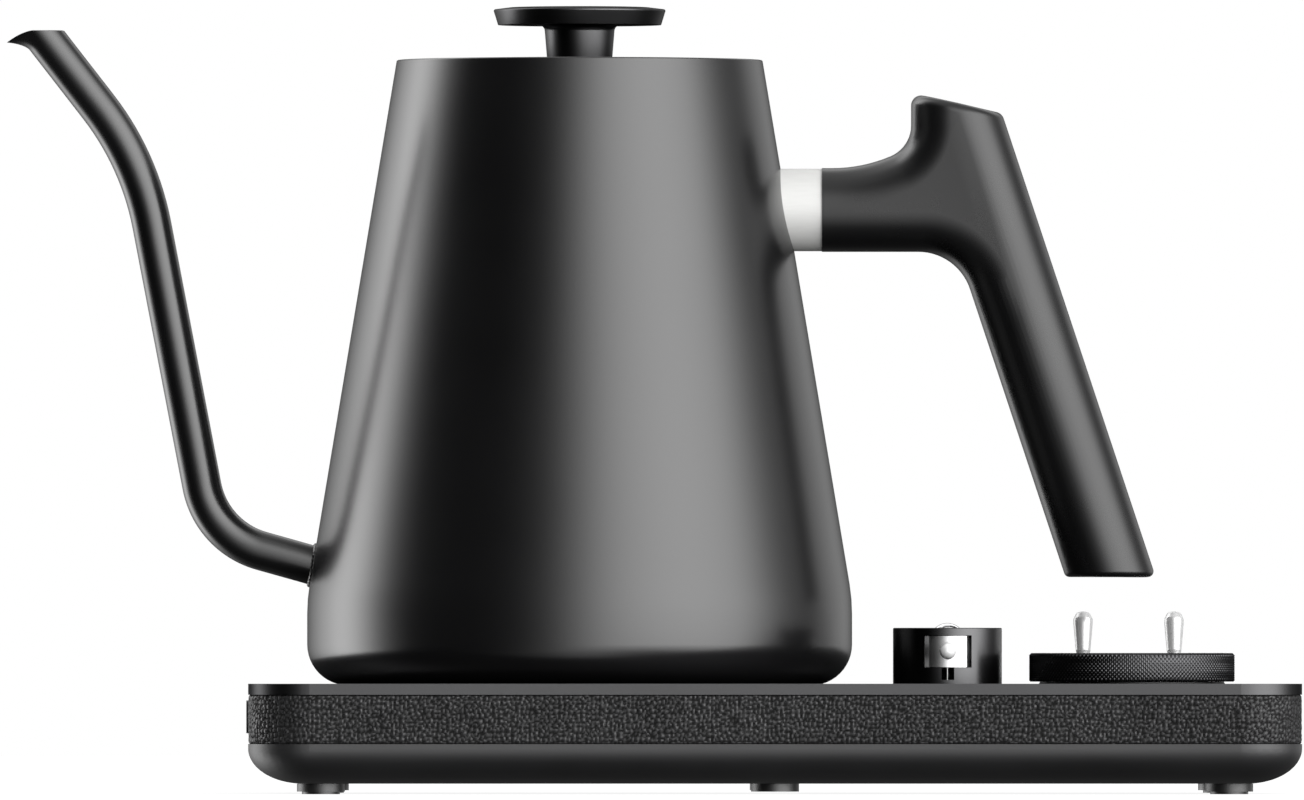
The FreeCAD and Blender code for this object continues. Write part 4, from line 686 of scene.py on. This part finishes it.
def spout_wall(sizes, radius, lip_inset):
    """One wall of the tube: rings along the middle line, then a lip that curls to the beak.

    Each ring is a circle across the path. Near the mouth every line along the tube leaves it on a
    cubic curve that ends on the rim, where it points along the tube or, at the beak, outwards.
    """
    turn = np.linspace(0, FULL_TURN, sizes.columns, endpoint=False)
    path, angle = spout_path(sizes)
    beak_side = np.stack([-np.sin(angle), np.cos(angle)], axis=1)
    mouth_z = float(spout_high[2])
    ahead = np.array([math.cos(angle[-1]), math.sin(angle[-1])])
    # The last ring stands a lip's length below the mouth, so that no ring crosses the mouth.
    middle = path[-1] + ahead * ((mouth_z - path[-1][1]) / ahead[1])
    path[-1] = middle - ahead * sizes.lip_run
    rings = path[:, None, :] + radius * np.cos(turn)[None, :, None] * beak_side[:, None, :]
    across = np.broadcast_to(radius * np.sin(turn), rings.shape[:2])
    rings = np.stack([rings[..., 0], across, rings[..., 1]], axis=-1)
    start = rings[-1]
    ahead3 = np.array([ahead[0], 0, ahead[1]])
    run = np.maximum(0.2 * MM, (mouth_z - sizes.curl - start[:, 2]) / ahead3[2])[:, None]
    leaving = start + ahead3 * run
    share = np.clip((np.cos(turn) - BEAK_START) / (1 - BEAK_START), 0, 1)
    pull = share**BEAK_DRAW
    half_width = radius / ahead[1]
    reach = middle[0] - sizes.radius / ahead[1] - float(spout_low[0]) - 0.03 * MM
    rim_x = middle[0] - half_width * np.cos(turn) - (reach - lip_inset) * pull
    rim_y = radius * np.sin(turn) * (1 - BEAK_NARROWING * pull)
    rim_z = mouth_z - sizes.beak_drop * pull**BEAK_DROP
    rim = np.stack([rim_x, rim_y, rim_z], axis=-1)
    arriving = pull[:, None] * np.array([-1.0, 0, BEAK_TILT]) + (1 - pull[:, None]) * ahead3
    span = np.linalg.norm(rim - leaving, axis=1)[:, None]
    straight = start + (leaving - start) * np.linspace(0, 1, LIP_ROWS)[1:, None, None]
    t = np.linspace(0, 1, CURL_ROWS)[1:, None, None]
    h00, h10 = 2 * t**3 - 3 * t**2 + 1, t**3 - 2 * t**2 + t
    h01, h11 = -2 * t**3 + 3 * t**2, t**3 - t**2
    curl = h00 * leaving + h10 * (ahead3 * span * CURL_LEAVING)
    curl = curl + h01 * rim + h11 * (arriving * span * CURL_ARRIVING)
    return np.concatenate([rings, straight, curl])


def spout_mesh(sizes):
    """Outer and inner walls of the tube, joined over a thin round lip and across the root."""
    outer = spout_wall(sizes, sizes.radius, 0.0)
    inner = spout_wall(sizes, sizes.bore, LIP_INSET)
    crest = (outer[-1] + inner[-1]) / 2 + np.array([0, 0, LIP_CREST])
    points = np.concatenate([outer, crest[None], inner[::-1]])
    return mesh_from_grid("spout_tube", points, wrap_rows=True)


def bead_mesh(sizes, shell):
    """Weld bead round the spout's root: a thin ring on the line where the tube meets the body.

    Each line along the tube is followed until its distance from the body's axis equals the body's
    radius at that height, by halving the interval.
    """
    turn = np.linspace(0, FULL_TURN, 96, endpoint=False)
    path, angle = spout_path(sizes)
    ahead = np.array([math.cos(angle[0]), 0, math.sin(angle[0])])
    side = np.array([-math.sin(angle[0]), 0, math.cos(angle[0])])
    out = np.cos(turn)[:, None] * side + np.sin(turn)[:, None] * np.array([0, 1.0, 0])
    root = np.array([path[0, 0], 0, path[0, 1]]) + sizes.radius * out
    low, high = np.full(len(turn), -15 * MM), np.full(len(turn), 15 * MM)
    for _ in range(40):
        mid = (low + high) / 2
        at = root + ahead * mid[:, None]
        reach = np.interp(at[:, 2], shell[:, 1], shell[:, 0])
        inside = np.hypot(at[:, 0] - body_axis_x, at[:, 1]) < reach
        low, high = np.where(inside, mid, low), np.where(inside, high, mid)
    line = root + ahead * low[:, None]
    section = np.linspace(0, FULL_TURN, 12, endpoint=False)[None, :, None]
    ripple = 1 + BEAD_RIPPLE * np.sin(turn * BEAD_RIPPLES)
    around = np.cos(section) * out[:, None] + np.sin(section) * ahead
    points = line[:, None] + sizes.bead * ripple[:, None, None] * around
    return mesh_from_grid("spout_bead", points, wrap_rows=True)


def add_spring():
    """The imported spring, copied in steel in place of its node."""
    mesh = packed_copy("button_spring", "button_coil")
    mesh.materials.append(all_materials()["steel"])
    piece = linked("button_coil", mesh)
    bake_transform(piece)
    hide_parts("button_spring")


def grip_mesh(sizes):
    """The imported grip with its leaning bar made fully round.

    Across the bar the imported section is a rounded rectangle. Each point moves along its own radius
    by the ratio of the ellipse that just fits inside to the rectangle, at its angle round the bar.
    On the inner side the move fades out below the bend under the arm."""
    foot = Vector((sizes.foot_x, 0, sizes.foot_z))
    up = Vector((-math.sin(sizes.lean), 0, math.cos(sizes.lean)))
    back = Vector((math.cos(sizes.lean), 0, math.sin(sizes.lean)))
    cuts = [(foot, back), (foot, Vector((0, 1, 0)))]
    cuts += [(foot + up * (sizes.under_end - sizes.change * step / 5), up) for step in range(6)]
    mesh = packed_copy("handle_grip", "grip_moulding", cuts)
    points = np.empty(len(mesh.vertices) * 3, np.float32)
    mesh.vertices.foreach_get("co", points)
    offset = points.reshape(-1, 3).astype(float) - np.array(foot)
    along, out, side = offset @ np.array(up), offset @ np.array(back), offset[:, 1]
    half, deep, rounding = sizes.half_width, grip_depth, sizes.rounding
    reach = np.maximum(np.hypot(out, side), 1e-9)
    c, d = np.abs(out) / reach, np.abs(side) / reach
    flat_c, flat_d = half - rounding, deep - rounding
    arc = np.sqrt(np.maximum(rounding**2 - (flat_c * d - flat_d * c) ** 2, 0))
    packed = flat_c * c + flat_d * d + arc
    packed = np.where(half * d <= flat_d * c, half / np.maximum(c, 1e-9), packed)
    packed = np.where(deep * c <= flat_c * d, deep / np.maximum(d, 1e-9), packed)
    ellipse = 1 / np.sqrt((c / half) ** 2 + (d / deep) ** 2)
    share = np.clip((sizes.under_end - along) / sizes.change, 0, 1)
    share = np.where(out >= 0, 1.0, share * share * (3 - 2 * share))
    scale = 1 + share * (ellipse / packed - 1)
    moved = offset + (out * (scale - 1))[:, None] * np.array(back)
    moved[:, 1] += side * (scale - 1)
    points = (moved + np.array(foot)).astype(np.float32)
    mesh.vertices.foreach_set("co", points.ravel())
    return mesh


def cap_mesh(sizes, name, place_x):
    """Round cap in a screw's seat: its face follows the arm's rounded underside, its back is flat."""
    axis = float(ring_low[2] + ring_high[2]) / 2
    low, rounding = float(screws_low[2]) - SEAT_DEPTH, sizes.rounding
    turn = np.linspace(0, FULL_TURN, 48, endpoint=False)
    radii = np.array(CAP_RINGS)[:, None] * sizes.cap
    x, y = place_x + radii * np.cos(turn), radii * np.sin(turn)
    over = np.maximum(np.abs(y) - (grip_depth - rounding), 0)
    z = axis - (axis - low - rounding) - np.sqrt(rounding**2 - over**2)
    # The face's outermost ring is a little higher, for a soft edge; the last ring is the back's.
    z[4] += 0.08 * MM
    z[5] = low + sizes.cap_height
    points = np.stack([x, y, z], axis=-1)
    return mesh_from_grid(name, points, False, (place_x, 0, low), (place_x, 0, low + sizes.cap_height))


def pebble_heights(along, total, height, pebble):
    """Leather grain from 0 in the creases to 1 on the pebbles.

    Points are scattered one to a cell. A pebble is a dome over its point, and it sinks to nothing
    where the distance to the second nearest point is the same as to the nearest.
    """
    columns = max(4, int(round(total / pebble)))
    width = total / columns
    rows = int(math.ceil((height.max() - height.min()) / pebble)) + 4
    rng = np.random.default_rng(PEBBLE_SEED)
    jitter = rng.uniform(*PEBBLE_SCATTER, (rows, columns, 2))
    tall = rng.uniform(*PEBBLE_HEIGHTS, (rows, columns))
    u, v = np.meshgrid(along / width, (height - height.min()) / pebble + 1.5, indexing="xy")
    cell_u, cell_v = np.floor(u).astype(int), np.floor(v).astype(int)
    first = np.full(u.shape, 9.0)
    second = np.full(u.shape, 9.0)
    crown = np.ones(u.shape)
    for dv in (-1, 0, 1):
        for du in (-1, 0, 1):
            cu, cv = (cell_u + du) % columns, np.clip(cell_v + dv, 0, rows - 1)
            gap_u = cell_u + du + jitter[cv, cu, 0] - u
            gap_v = cell_v + dv + jitter[cv, cu, 1] - v
            gap = np.hypot(gap_u, gap_v)
            nearer = gap < first
            second = np.where(nearer, first, np.minimum(second, gap))
            crown = np.where(nearer, tall[cv, cu], crown)
            first = np.where(nearer, gap, first)
    crease = np.clip((second - first) / CREASE_WIDTH, 0, 1)
    crease = crease * crease * (3 - 2 * crease)
    dome = np.sqrt(np.clip(1 - (first / DOME_RADIUS) ** 2, 0, 1))
    return dome * crease * crown


def band_mesh(sizes):
    """Strip of leatherette round the base: pebbled face, turned-in edges and a plain back."""
    outline, normal, along, total = base_outline(band_low, band_high, sizes.corner, sizes.step)
    low, high = float(band_low[2]), float(band_high[2])
    rows = int(round((high - low) / sizes.step))
    height = np.linspace(low, high, rows + 1)
    grain = pebble_heights(along, total, height, sizes.pebble)
    # The face rolls in at both edges, where the strip is tucked under the plate and the tray.
    edge = np.minimum(height - low, high - height) / TUCK_RUN
    tuck = (1 - np.sqrt(1 - (1 - np.clip(edge, 0, 1)) ** 2)) * TUCK_DEPTH
    inward = sizes.relief * (1 - grain) + tuck[:, None]
    face = outline[None] - normal[None] * inward[..., None]
    level = np.broadcast_to(height[:, None, None], face.shape[:2] + (1,))
    face = np.concatenate([face, level], axis=-1)
    back = outline - normal * sizes.thickness
    ends = [np.concatenate([back, np.full((len(back), 1), z)], axis=1)[None] for z in (high, low)]
    points = np.concatenate([face, *ends])
    mesh = mesh_from_grid("leatherette_strip", points, wrap_rows=True)
    heights = np.concatenate([grain, np.zeros((2, len(back)))]).ravel().astype(np.float32)
    mesh.attributes.new("pebble", "FLOAT", "POINT").data.foreach_set("value", heights)
    return mesh


def knurl(turn, height, count, pitch):
    """Diamond knurl from 0 in its cuts to 1 on its points: two crossed triangle waves."""
    a = turn * count / FULL_TURN + height / pitch
    b = turn * count / FULL_TURN - height / pitch
    wave_a = 1 - np.abs(2 * (a - np.floor(a)) - 1)
    wave_b = 1 - np.abs(2 * (b - np.floor(b)) - 1)
    return np.minimum(1, KNURL_STEEPNESS * np.minimum(wave_a, wave_b))


def dial_mesh(sizes, centre, radius):
    """Knurled wheel with a bevelled rim, a sunk disc on top and a hollow for the nut below."""
    bottom, top = float(dial_low[2]), float(dial_high[2])
    bevel, rim, step = sizes.bevel, sizes.rim, sizes.step
    columns = sizes.knurls * 4
    pitch = FULL_TURN * radius / sizes.knurls
    end, hollow = top - SPINDLE_END, bottom + NUT_DEPTH
    under = rounded(
        [(0, end), (SPINDLE_HOLE, end), (SPINDLE_HOLE, hollow), (NUT_HOLLOW, hollow),
         (NUT_HOLLOW, bottom), (radius - DIAL_EDGE, bottom)],
        (0, 0, 0, 0, 0.2 * MM, 0),
    )
    over = rounded(
        [(radius - bevel, top), (radius - rim, top), (radius - rim - step, top - step), (0, top - step)],
        (0, 0.12 * MM, 0.2 * MM, 0),
    )
    rows = max(8, int(round((top - bottom - bevel - DIAL_EDGE) / (pitch / 4))))
    height = np.linspace(bottom + DIAL_EDGE, top - bevel, rows + 1)
    side = np.stack([np.full(rows + 1, radius), height], axis=1)
    profile = np.concatenate([under[1:], side, over[:-1]])
    points = turned_points(profile, centre, columns)
    turn = np.linspace(0, FULL_TURN, columns, endpoint=False)
    knurls = slice(len(under) - 1, len(under) + rows)
    diamonds = knurl(turn[None], height[:, None] - bottom, sizes.knurls, pitch)
    cut = sizes.knurl_depth * (1 - diamonds)
    out = np.stack([np.cos(turn), np.sin(turn)], axis=-1)
    points[knurls, :, :2] -= out[None] * cut[..., None]
    mesh = mesh_from_grid("dial_wheel", points, False, (*centre, end), (*centre, top - step))
    # Share for the painted shade of the knurl: 0 in the cuts, 1 on the points, 0.5 on the plain faces.
    painted_light_share = np.full(points.shape[:2], 0.5)
    painted_light_share[knurls] = diamonds
    painted_light_share = np.append(painted_light_share.ravel(), [0.5, 0.5]).astype(np.float32)
    mesh.attributes.new("knurl", "FLOAT", "POINT").data.foreach_set("value", painted_light_share)
    return mesh


def washer_mesh(centre):
    """Felt washer that fills the gap between the fixed ring and the dial."""
    fixed_low, fixed_high = corners("dial_pedestal")
    outer = float(fixed_high[0] - fixed_low[0]) / 2 - WASHER_INSET
    low, high = float(fixed_high[2]) - 0.05 * MM, float(dial_low[2]) - 0.004 * MM
    profile = rounded(
        [(outer - WASHER_WIDTH, low), (outer, low), (outer, high), (outer - WASHER_WIDTH, high)],
        (0.02 * MM, 0.02 * MM, 0.1 * MM, 0.1 * MM),
        closed=True,
    )
    return turned_mesh("dial_washer", profile, centre, 160)


def text_mesh(words, height):
    """Flat figures of the plain built-in face, as a mesh centred on the origin."""
    curve = bpy.data.curves.new("figure", "FONT")
    curve.body = words
    curve.size = height * 1.35
    curve.align_x = curve.align_y = "CENTER"
    curve.extrude = PRINT_THICKNESS / 2
    curve.resolution_u = 3
    holder = linked("figure", curve)
    bpy.context.view_layer.update()
    graph = bpy.context.evaluated_depsgraph_get()
    mesh = bpy.data.meshes.new_from_object(holder.evaluated_get(graph))
    bpy.data.objects.remove(holder)
    bpy.data.curves.remove(curve)
    return mesh


def dial_marks(sizes, centre, radius):
    """Scale printed on the dial's ring: ticks every five degrees and figures every ten."""
    made = bmesh.new()
    middle = radius - sizes.bevel - (sizes.rim - sizes.bevel) / 2
    bar = Matrix.Diagonal((TICK_WIDTH, TICK_LENGTH, PRINT_THICKNESS, 1))
    for i, value in enumerate(SCALE_VALUES):
        turn = math.radians(SCALE_START - SCALE_SWEEP * i / (len(SCALE_VALUES) - 1))
        out = Vector((math.cos(turn), math.sin(turn), 0))
        at = Vector((*centre, dial_high[2] + PRINT_THICKNESS / 2)) + out * middle
        place = Matrix.Translation(at) @ Matrix.Rotation(turn - math.pi / 2, 4, "Z")
        if value % 10:
            bmesh.ops.create_cube(made, size=1, matrix=place @ bar)
            continue
        mesh = text_mesh(str(value), sizes.figure)
        mesh.transform(place)
        made.from_mesh(mesh)
        bpy.data.meshes.remove(mesh)
    mesh = bpy.data.meshes.new("dial_scale")
    made.to_mesh(mesh)
    made.free()
    return mesh


# ---- operators ----


class PieceOperator:
    bl_options = {"REGISTER", "UNDO"}

    def execute(self, context):
        self.make(context.scene)
        return {"FINISHED"}


class KETTLE_OT_finish_nodes(PieceOperator, Operator):
    """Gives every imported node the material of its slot, or its own"""

    bl_idname = "kettle.finish_nodes"
    bl_label = "Finish the packed parts"

    def make(self, scene):
        materials, own = all_materials(), own_finishes()
        slots = {s["node"]: s["material_slot"] for s in frame["record"]["subparts"]}
        for name, node in frame["nodes"].items():
            node.data.materials.clear()
            node.data.materials.append(own.get(name, materials[slots[name]]))


class KETTLE_OT_body(PieceOperator, Operator):
    """Spun body of the kettle"""

    bl_idname = "kettle.body"
    bl_label = "Kettle body"

    def make(self, scene):
        sizes = scene.kettle_body
        mesh = turned_mesh("kettle_shell", body_profile(sizes), (body_axis_x, 0.0), sizes.columns)
        add_piece(mesh, "kettle", "black_metal", "kettle_body")


class KETTLE_OT_spout(PieceOperator, Operator):
    """Gooseneck spout with its curled beak"""

    bl_idname = "kettle.spout"
    bl_label = "Spout"

    def make(self, scene):
        add_piece(spout_mesh(scene.kettle_spout), "kettle", "black_metal", "spout")
        outside = body_profile(scene.kettle_body)
        outside = outside[np.argmax(outside[:, 0] > body_radius - NEAR):]
        outside = outside[: np.argmax(outside[:, 1])]
        add_piece(bead_mesh(scene.kettle_spout, outside), "kettle", "black_metal")


class KETTLE_OT_grip(PieceOperator, Operator):
    """Moulded grip and the caps over its screws"""

    bl_idname = "kettle.grip"
    bl_label = "Grip"

    def make(self, scene):
        sizes = scene.kettle_grip
        add_piece(grip_mesh(sizes), "kettle", "grip_black", "handle_grip")
        places = (float(screws_low[0]) + SCREW_HEAD, float(screws_high[0]) - SCREW_HEAD)
        for i, x in enumerate(places):
            add_piece(cap_mesh(sizes, f"grip_cap_{i + 1}", x), "kettle", "grip_black")


class KETTLE_OT_spring(PieceOperator, Operator):
    """Spring that the start button squeezes"""

    bl_idname = "kettle.spring"
    bl_label = "Button spring"

    def make(self, scene):
        add_spring()


class KETTLE_OT_band(PieceOperator, Operator):
    """Pebbled leatherette band round the base"""

    bl_idname = "kettle.band"
    bl_label = "Leatherette band"

    def make(self, scene):
        mesh = band_mesh(scene.kettle_band)
        add_piece(mesh, "base", "leatherette", "leatherette_band", sharp=SOFT_ANGLE)


class KETTLE_OT_dial(PieceOperator, Operator):
    """Knurled dial, its scale and the washer under it"""

    bl_idname = "kettle.dial"
    bl_label = "Dial"

    def make(self, scene):
        sizes = scene.kettle_dial
        centre, radius = (dial_low + dial_high)[:2] / 2, float(dial_high[0] - dial_low[0]) / 2
        # The knurl's cuts get 0.004 as painted shade, the points 0.06.
        finish = knurled("dial finish", 0.004, (0.06, 0.06, 0.062), 0.26, 0.4)
        ink = grained("scale print", (0.62, 0.62, 0.6), 0.5, INK)
        add_piece(dial_mesh(sizes, centre, radius), "dial", "black_metal", "dial", material=finish)
        add_piece(washer_mesh(centre), "base", "rubber")
        add_piece(dial_marks(sizes, centre, radius), "dial", "lens", material=ink)


# Brightness against azimuth in degrees, from the front round to the right.
FRONT_LIGHT = (
    (-180, 0), (-40, 0), (-28, 0.008), (-19, 0.028), (-10, 0.1), (-1, 0.29), (9, 0.57), (19, 0.8),
    (29, 0.92), (39, 1), (50, 1.02), (60, 0.96), (72, 0.82), (82, 0.5), (92, 0.22), (102, 0.09),
    (116, 0.05), (132, 0.13), (150, 0.11), (166, 0.02), (180, 0),
)
LEFT_LIGHT = (
    (-180, 0), (-166, 0.02), (-150, 0.1), (-134, 0.32), (-122, 0.68), (-113, 0.78), (-104, 0.6),
    (-96, 0.25), (-88, 0.06), (-78, 0), (180, 0),
)
LOW_LIGHT = (
    (-180, 0), (-34, 0), (-16, 0.05), (-4, 0.17), (8, 0.2), (20, 0.08), (32, 0), (180, 0),
)
# Brightness against the height of a direction, from -1 straight down to 1 straight up.
FRONT_HEIGHT = (
    (-1, 0), (-0.6, 0.015), (-0.42, 0.05), (-0.3, 0.16), (-0.2, 0.42), (-0.1, 0.85), (-0.03, 1),
    (0.5, 1), (0.68, 0.6), (0.85, 0.12), (1, 0),
)
LEFT_HEIGHT = (
    (-1, 0), (-0.8, 0.05), (-0.65, 0.5), (-0.55, 0.9), (-0.4, 1), (0.6, 1), (0.8, 0.8), (0.92, 0.2),
    (1, 0),
)
LOW_HEIGHT = (
    (-1, 0), (-0.72, 0.05), (-0.58, 0.45), (-0.45, 0.85), (-0.25, 1), (-0.08, 0.1), (1, 0),
)
REAR_LIGHT = (
    (-180, 0.2), (-155, 0.17), (-130, 0.05), (-112, 0), (112, 0), (130, 0.05), (155, 0.17),
    (180, 0.2),
)
REAR_HEIGHT = (
    (-1, 0), (0.32, 0), (0.46, 0.7), (0.54, 1), (0.64, 1), (0.78, 0.4), (0.9, 0), (1, 0),
)
ABOVE = (
    (-1, 0.008), (-0.5, 0.012), (-0.2, 0), (0.6, 0), (0.78, 0.05), (0.9, 0.12), (1, 0.16),
)
LIGHTS = (
    (FRONT_LIGHT, FRONT_HEIGHT),
    (LEFT_LIGHT, LEFT_HEIGHT),
    (LOW_LIGHT, LOW_HEIGHT),
    (REAR_LIGHT, REAR_HEIGHT),
)


def studio_world(key):
    """Soft light as a function of direction: a broad light to the front right, a strip to the
    left that reaches lower, a weak low one in front, weak ones above and high behind, and a faint
    glow from below."""
    world = bpy.data.worlds.new("studio")
    bpy.context.scene.world = world
    world.use_nodes = True
    tree = world.node_tree
    tree.nodes.clear()
    place = shader_node(tree, "TexCoord").outputs["Generated"]
    x, y, z = shader_node(tree, "SeparateXYZ", Vector=place).outputs
    azimuth = maths(tree, "ARCTAN2", x, maths(tree, "MULTIPLY", y, -1.0))
    share = spread(tree, azimuth, -math.pi, math.pi, 0.0, 1.0)
    height = spread(tree, z, -1.0, 1.0, 0.0, 1.0)
    lights = [
        maths(tree, "MULTIPLY", ramp(tree, share, around, 180), ramp(tree, height, up, 1))
        for around, up in LIGHTS
    ]
    sides = maths(
        tree, "ADD", maths(tree, "ADD", *lights[:2]), maths(tree, "ADD", *lights[2:])
    )
    level = maths(tree, "ADD", sides, ramp(tree, height, ABOVE, 1))
    white = (1, 1, 1, 1)
    lit = shader_node(
        tree, "Background", Color=white, Strength=maths(tree, "MULTIPLY", level, key)
    )
    paper = shader_node(tree, "Background", Color=white, Strength=1.0)
    seen = shader_node(tree, "LightPath").outputs["Is Camera Ray"]
    mix_to_output(tree, seen, lit, paper, "OutputWorld")


def mix_to_output(tree, share, first, second, kind):
    """Mixes two shaders by a share and feeds the output node."""
    both = shader_node(tree, "MixShader")
    for i, value in enumerate((share, first.outputs[0], second.outputs[0])):
        put(tree, both.inputs[i], value)
    shader_node(tree, kind, Surface=both.outputs[0])


def ramp(tree, value, stops, reach):
    """Grey levels at stops from minus reach to reach, joined by straight lines."""
    node = shader_node(tree, "ValToRGB", Fac=value)
    elements = node.color_ramp.elements
    while len(elements) < len(stops):
        elements.new(0.5)
    for element, (place, level) in zip(elements, stops):
        element.position = (place + reach) / (2 * reach)
        element.color = (level, level, level, 1)
    return node.outputs["Color"]


def add_floor():
    """Pale floor that shows in the view but lights nothing."""
    mesh = bpy.data.meshes.new("floor")
    ends = ((-1, -1), (1, -1), (1, 1), (-1, 1))
    mesh.from_pydata([(x * FLOOR_REACH, y * FLOOR_REACH, 0) for x, y in ends], [], [(0, 1, 2, 3)])
    floor = linked("floor", mesh)
    material, tree = new_material("pale floor")
    tree.nodes.clear()
    matt = shader_node(tree, "BsdfDiffuse", Color=(FLOOR_GREY, FLOOR_GREY, FLOOR_GREY, 1))
    glow = shader_node(tree, "Emission", Color=(1, 1, 1, 1), Strength=1.0)
    mix_to_output(tree, FLOOR_GLOW, matt, glow, "OutputMaterial")
    mesh.materials.append(material)
    floor.visible_glossy = floor.visible_diffuse = False


class KETTLE_OT_stage(PieceOperator, Operator):
    """Pale floor, soft light and camera"""

    bl_idname = "kettle.stage"
    bl_label = "Stage"

    def make(self, scene):
        stage = scene.kettle_stage
        scene.view_settings.view_transform = "Standard"
        add_floor()
        studio_world(stage.key)
        camera = bpy.data.cameras.new("camera")
        camera.sensor_width = SENSOR_WIDTH
        camera.lens = camera.sensor_width * (stage.distance - stage.near) / stage.view_width
        camera.clip_end = stage.distance * 10
        eye = linked("camera", camera)
        eye.location = (0.0, -stage.distance, stage.horizon)
        aim = Vector((0.0, 0.0, stage.aim)) - eye.location
        eye.rotation_euler = aim.to_track_quat("-Z", "Y").to_euler()
        scene.camera = eye


class KETTLE_PT_panel(Panel):
    """Lists the kettle's pieces"""

    bl_idname = "KETTLE_PT_panel"
    bl_label = "Gooseneck Kettle"
    bl_space_type = "VIEW_3D"
    bl_region_type = "UI"
    bl_category = "Kettle"

    def draw(self, context):
        for operator in OPERATORS:
            self.layout.operator(operator.bl_idname)


OPERATORS = (
    KETTLE_OT_stage,
    KETTLE_OT_finish_nodes,
    KETTLE_OT_body,
    KETTLE_OT_spout,
    KETTLE_OT_grip,
    KETTLE_OT_spring,
    KETTLE_OT_band,
    KETTLE_OT_dial,
)
GROUPS = {
    "kettle_body": KettleBodySizes,
    "kettle_spout": SpoutSizes,
    "kettle_grip": GripSizes,
    "kettle_band": BandSizes,
    "kettle_dial": DialSizes,
    "kettle_finishes": Finishes,
    "kettle_stage": StageSettings,
}


CLASSES = (*GROUPS.values(), *OPERATORS, KETTLE_PT_panel)


def register():
    for item in CLASSES:
        bpy.utils.register_class(item)
    for name, group in GROUPS.items():
        setattr(bpy.types.Scene, name, PointerProperty(type=group))


def unregister():
    for name in GROUPS:
        delattr(bpy.types.Scene, name)
    for item in reversed(CLASSES):
        bpy.utils.unregister_class(item)


def main():
    register()
    bpy.ops.kettle.stage()
    bpy.ops.kettle.finish_nodes()
    bpy.ops.kettle.body()
    bpy.ops.kettle.spout()
    bpy.ops.kettle.grip()
    bpy.ops.kettle.spring()
    bpy.ops.kettle.band()
    bpy.ops.kettle.dial()


if __name__ == "__main__":
    main()
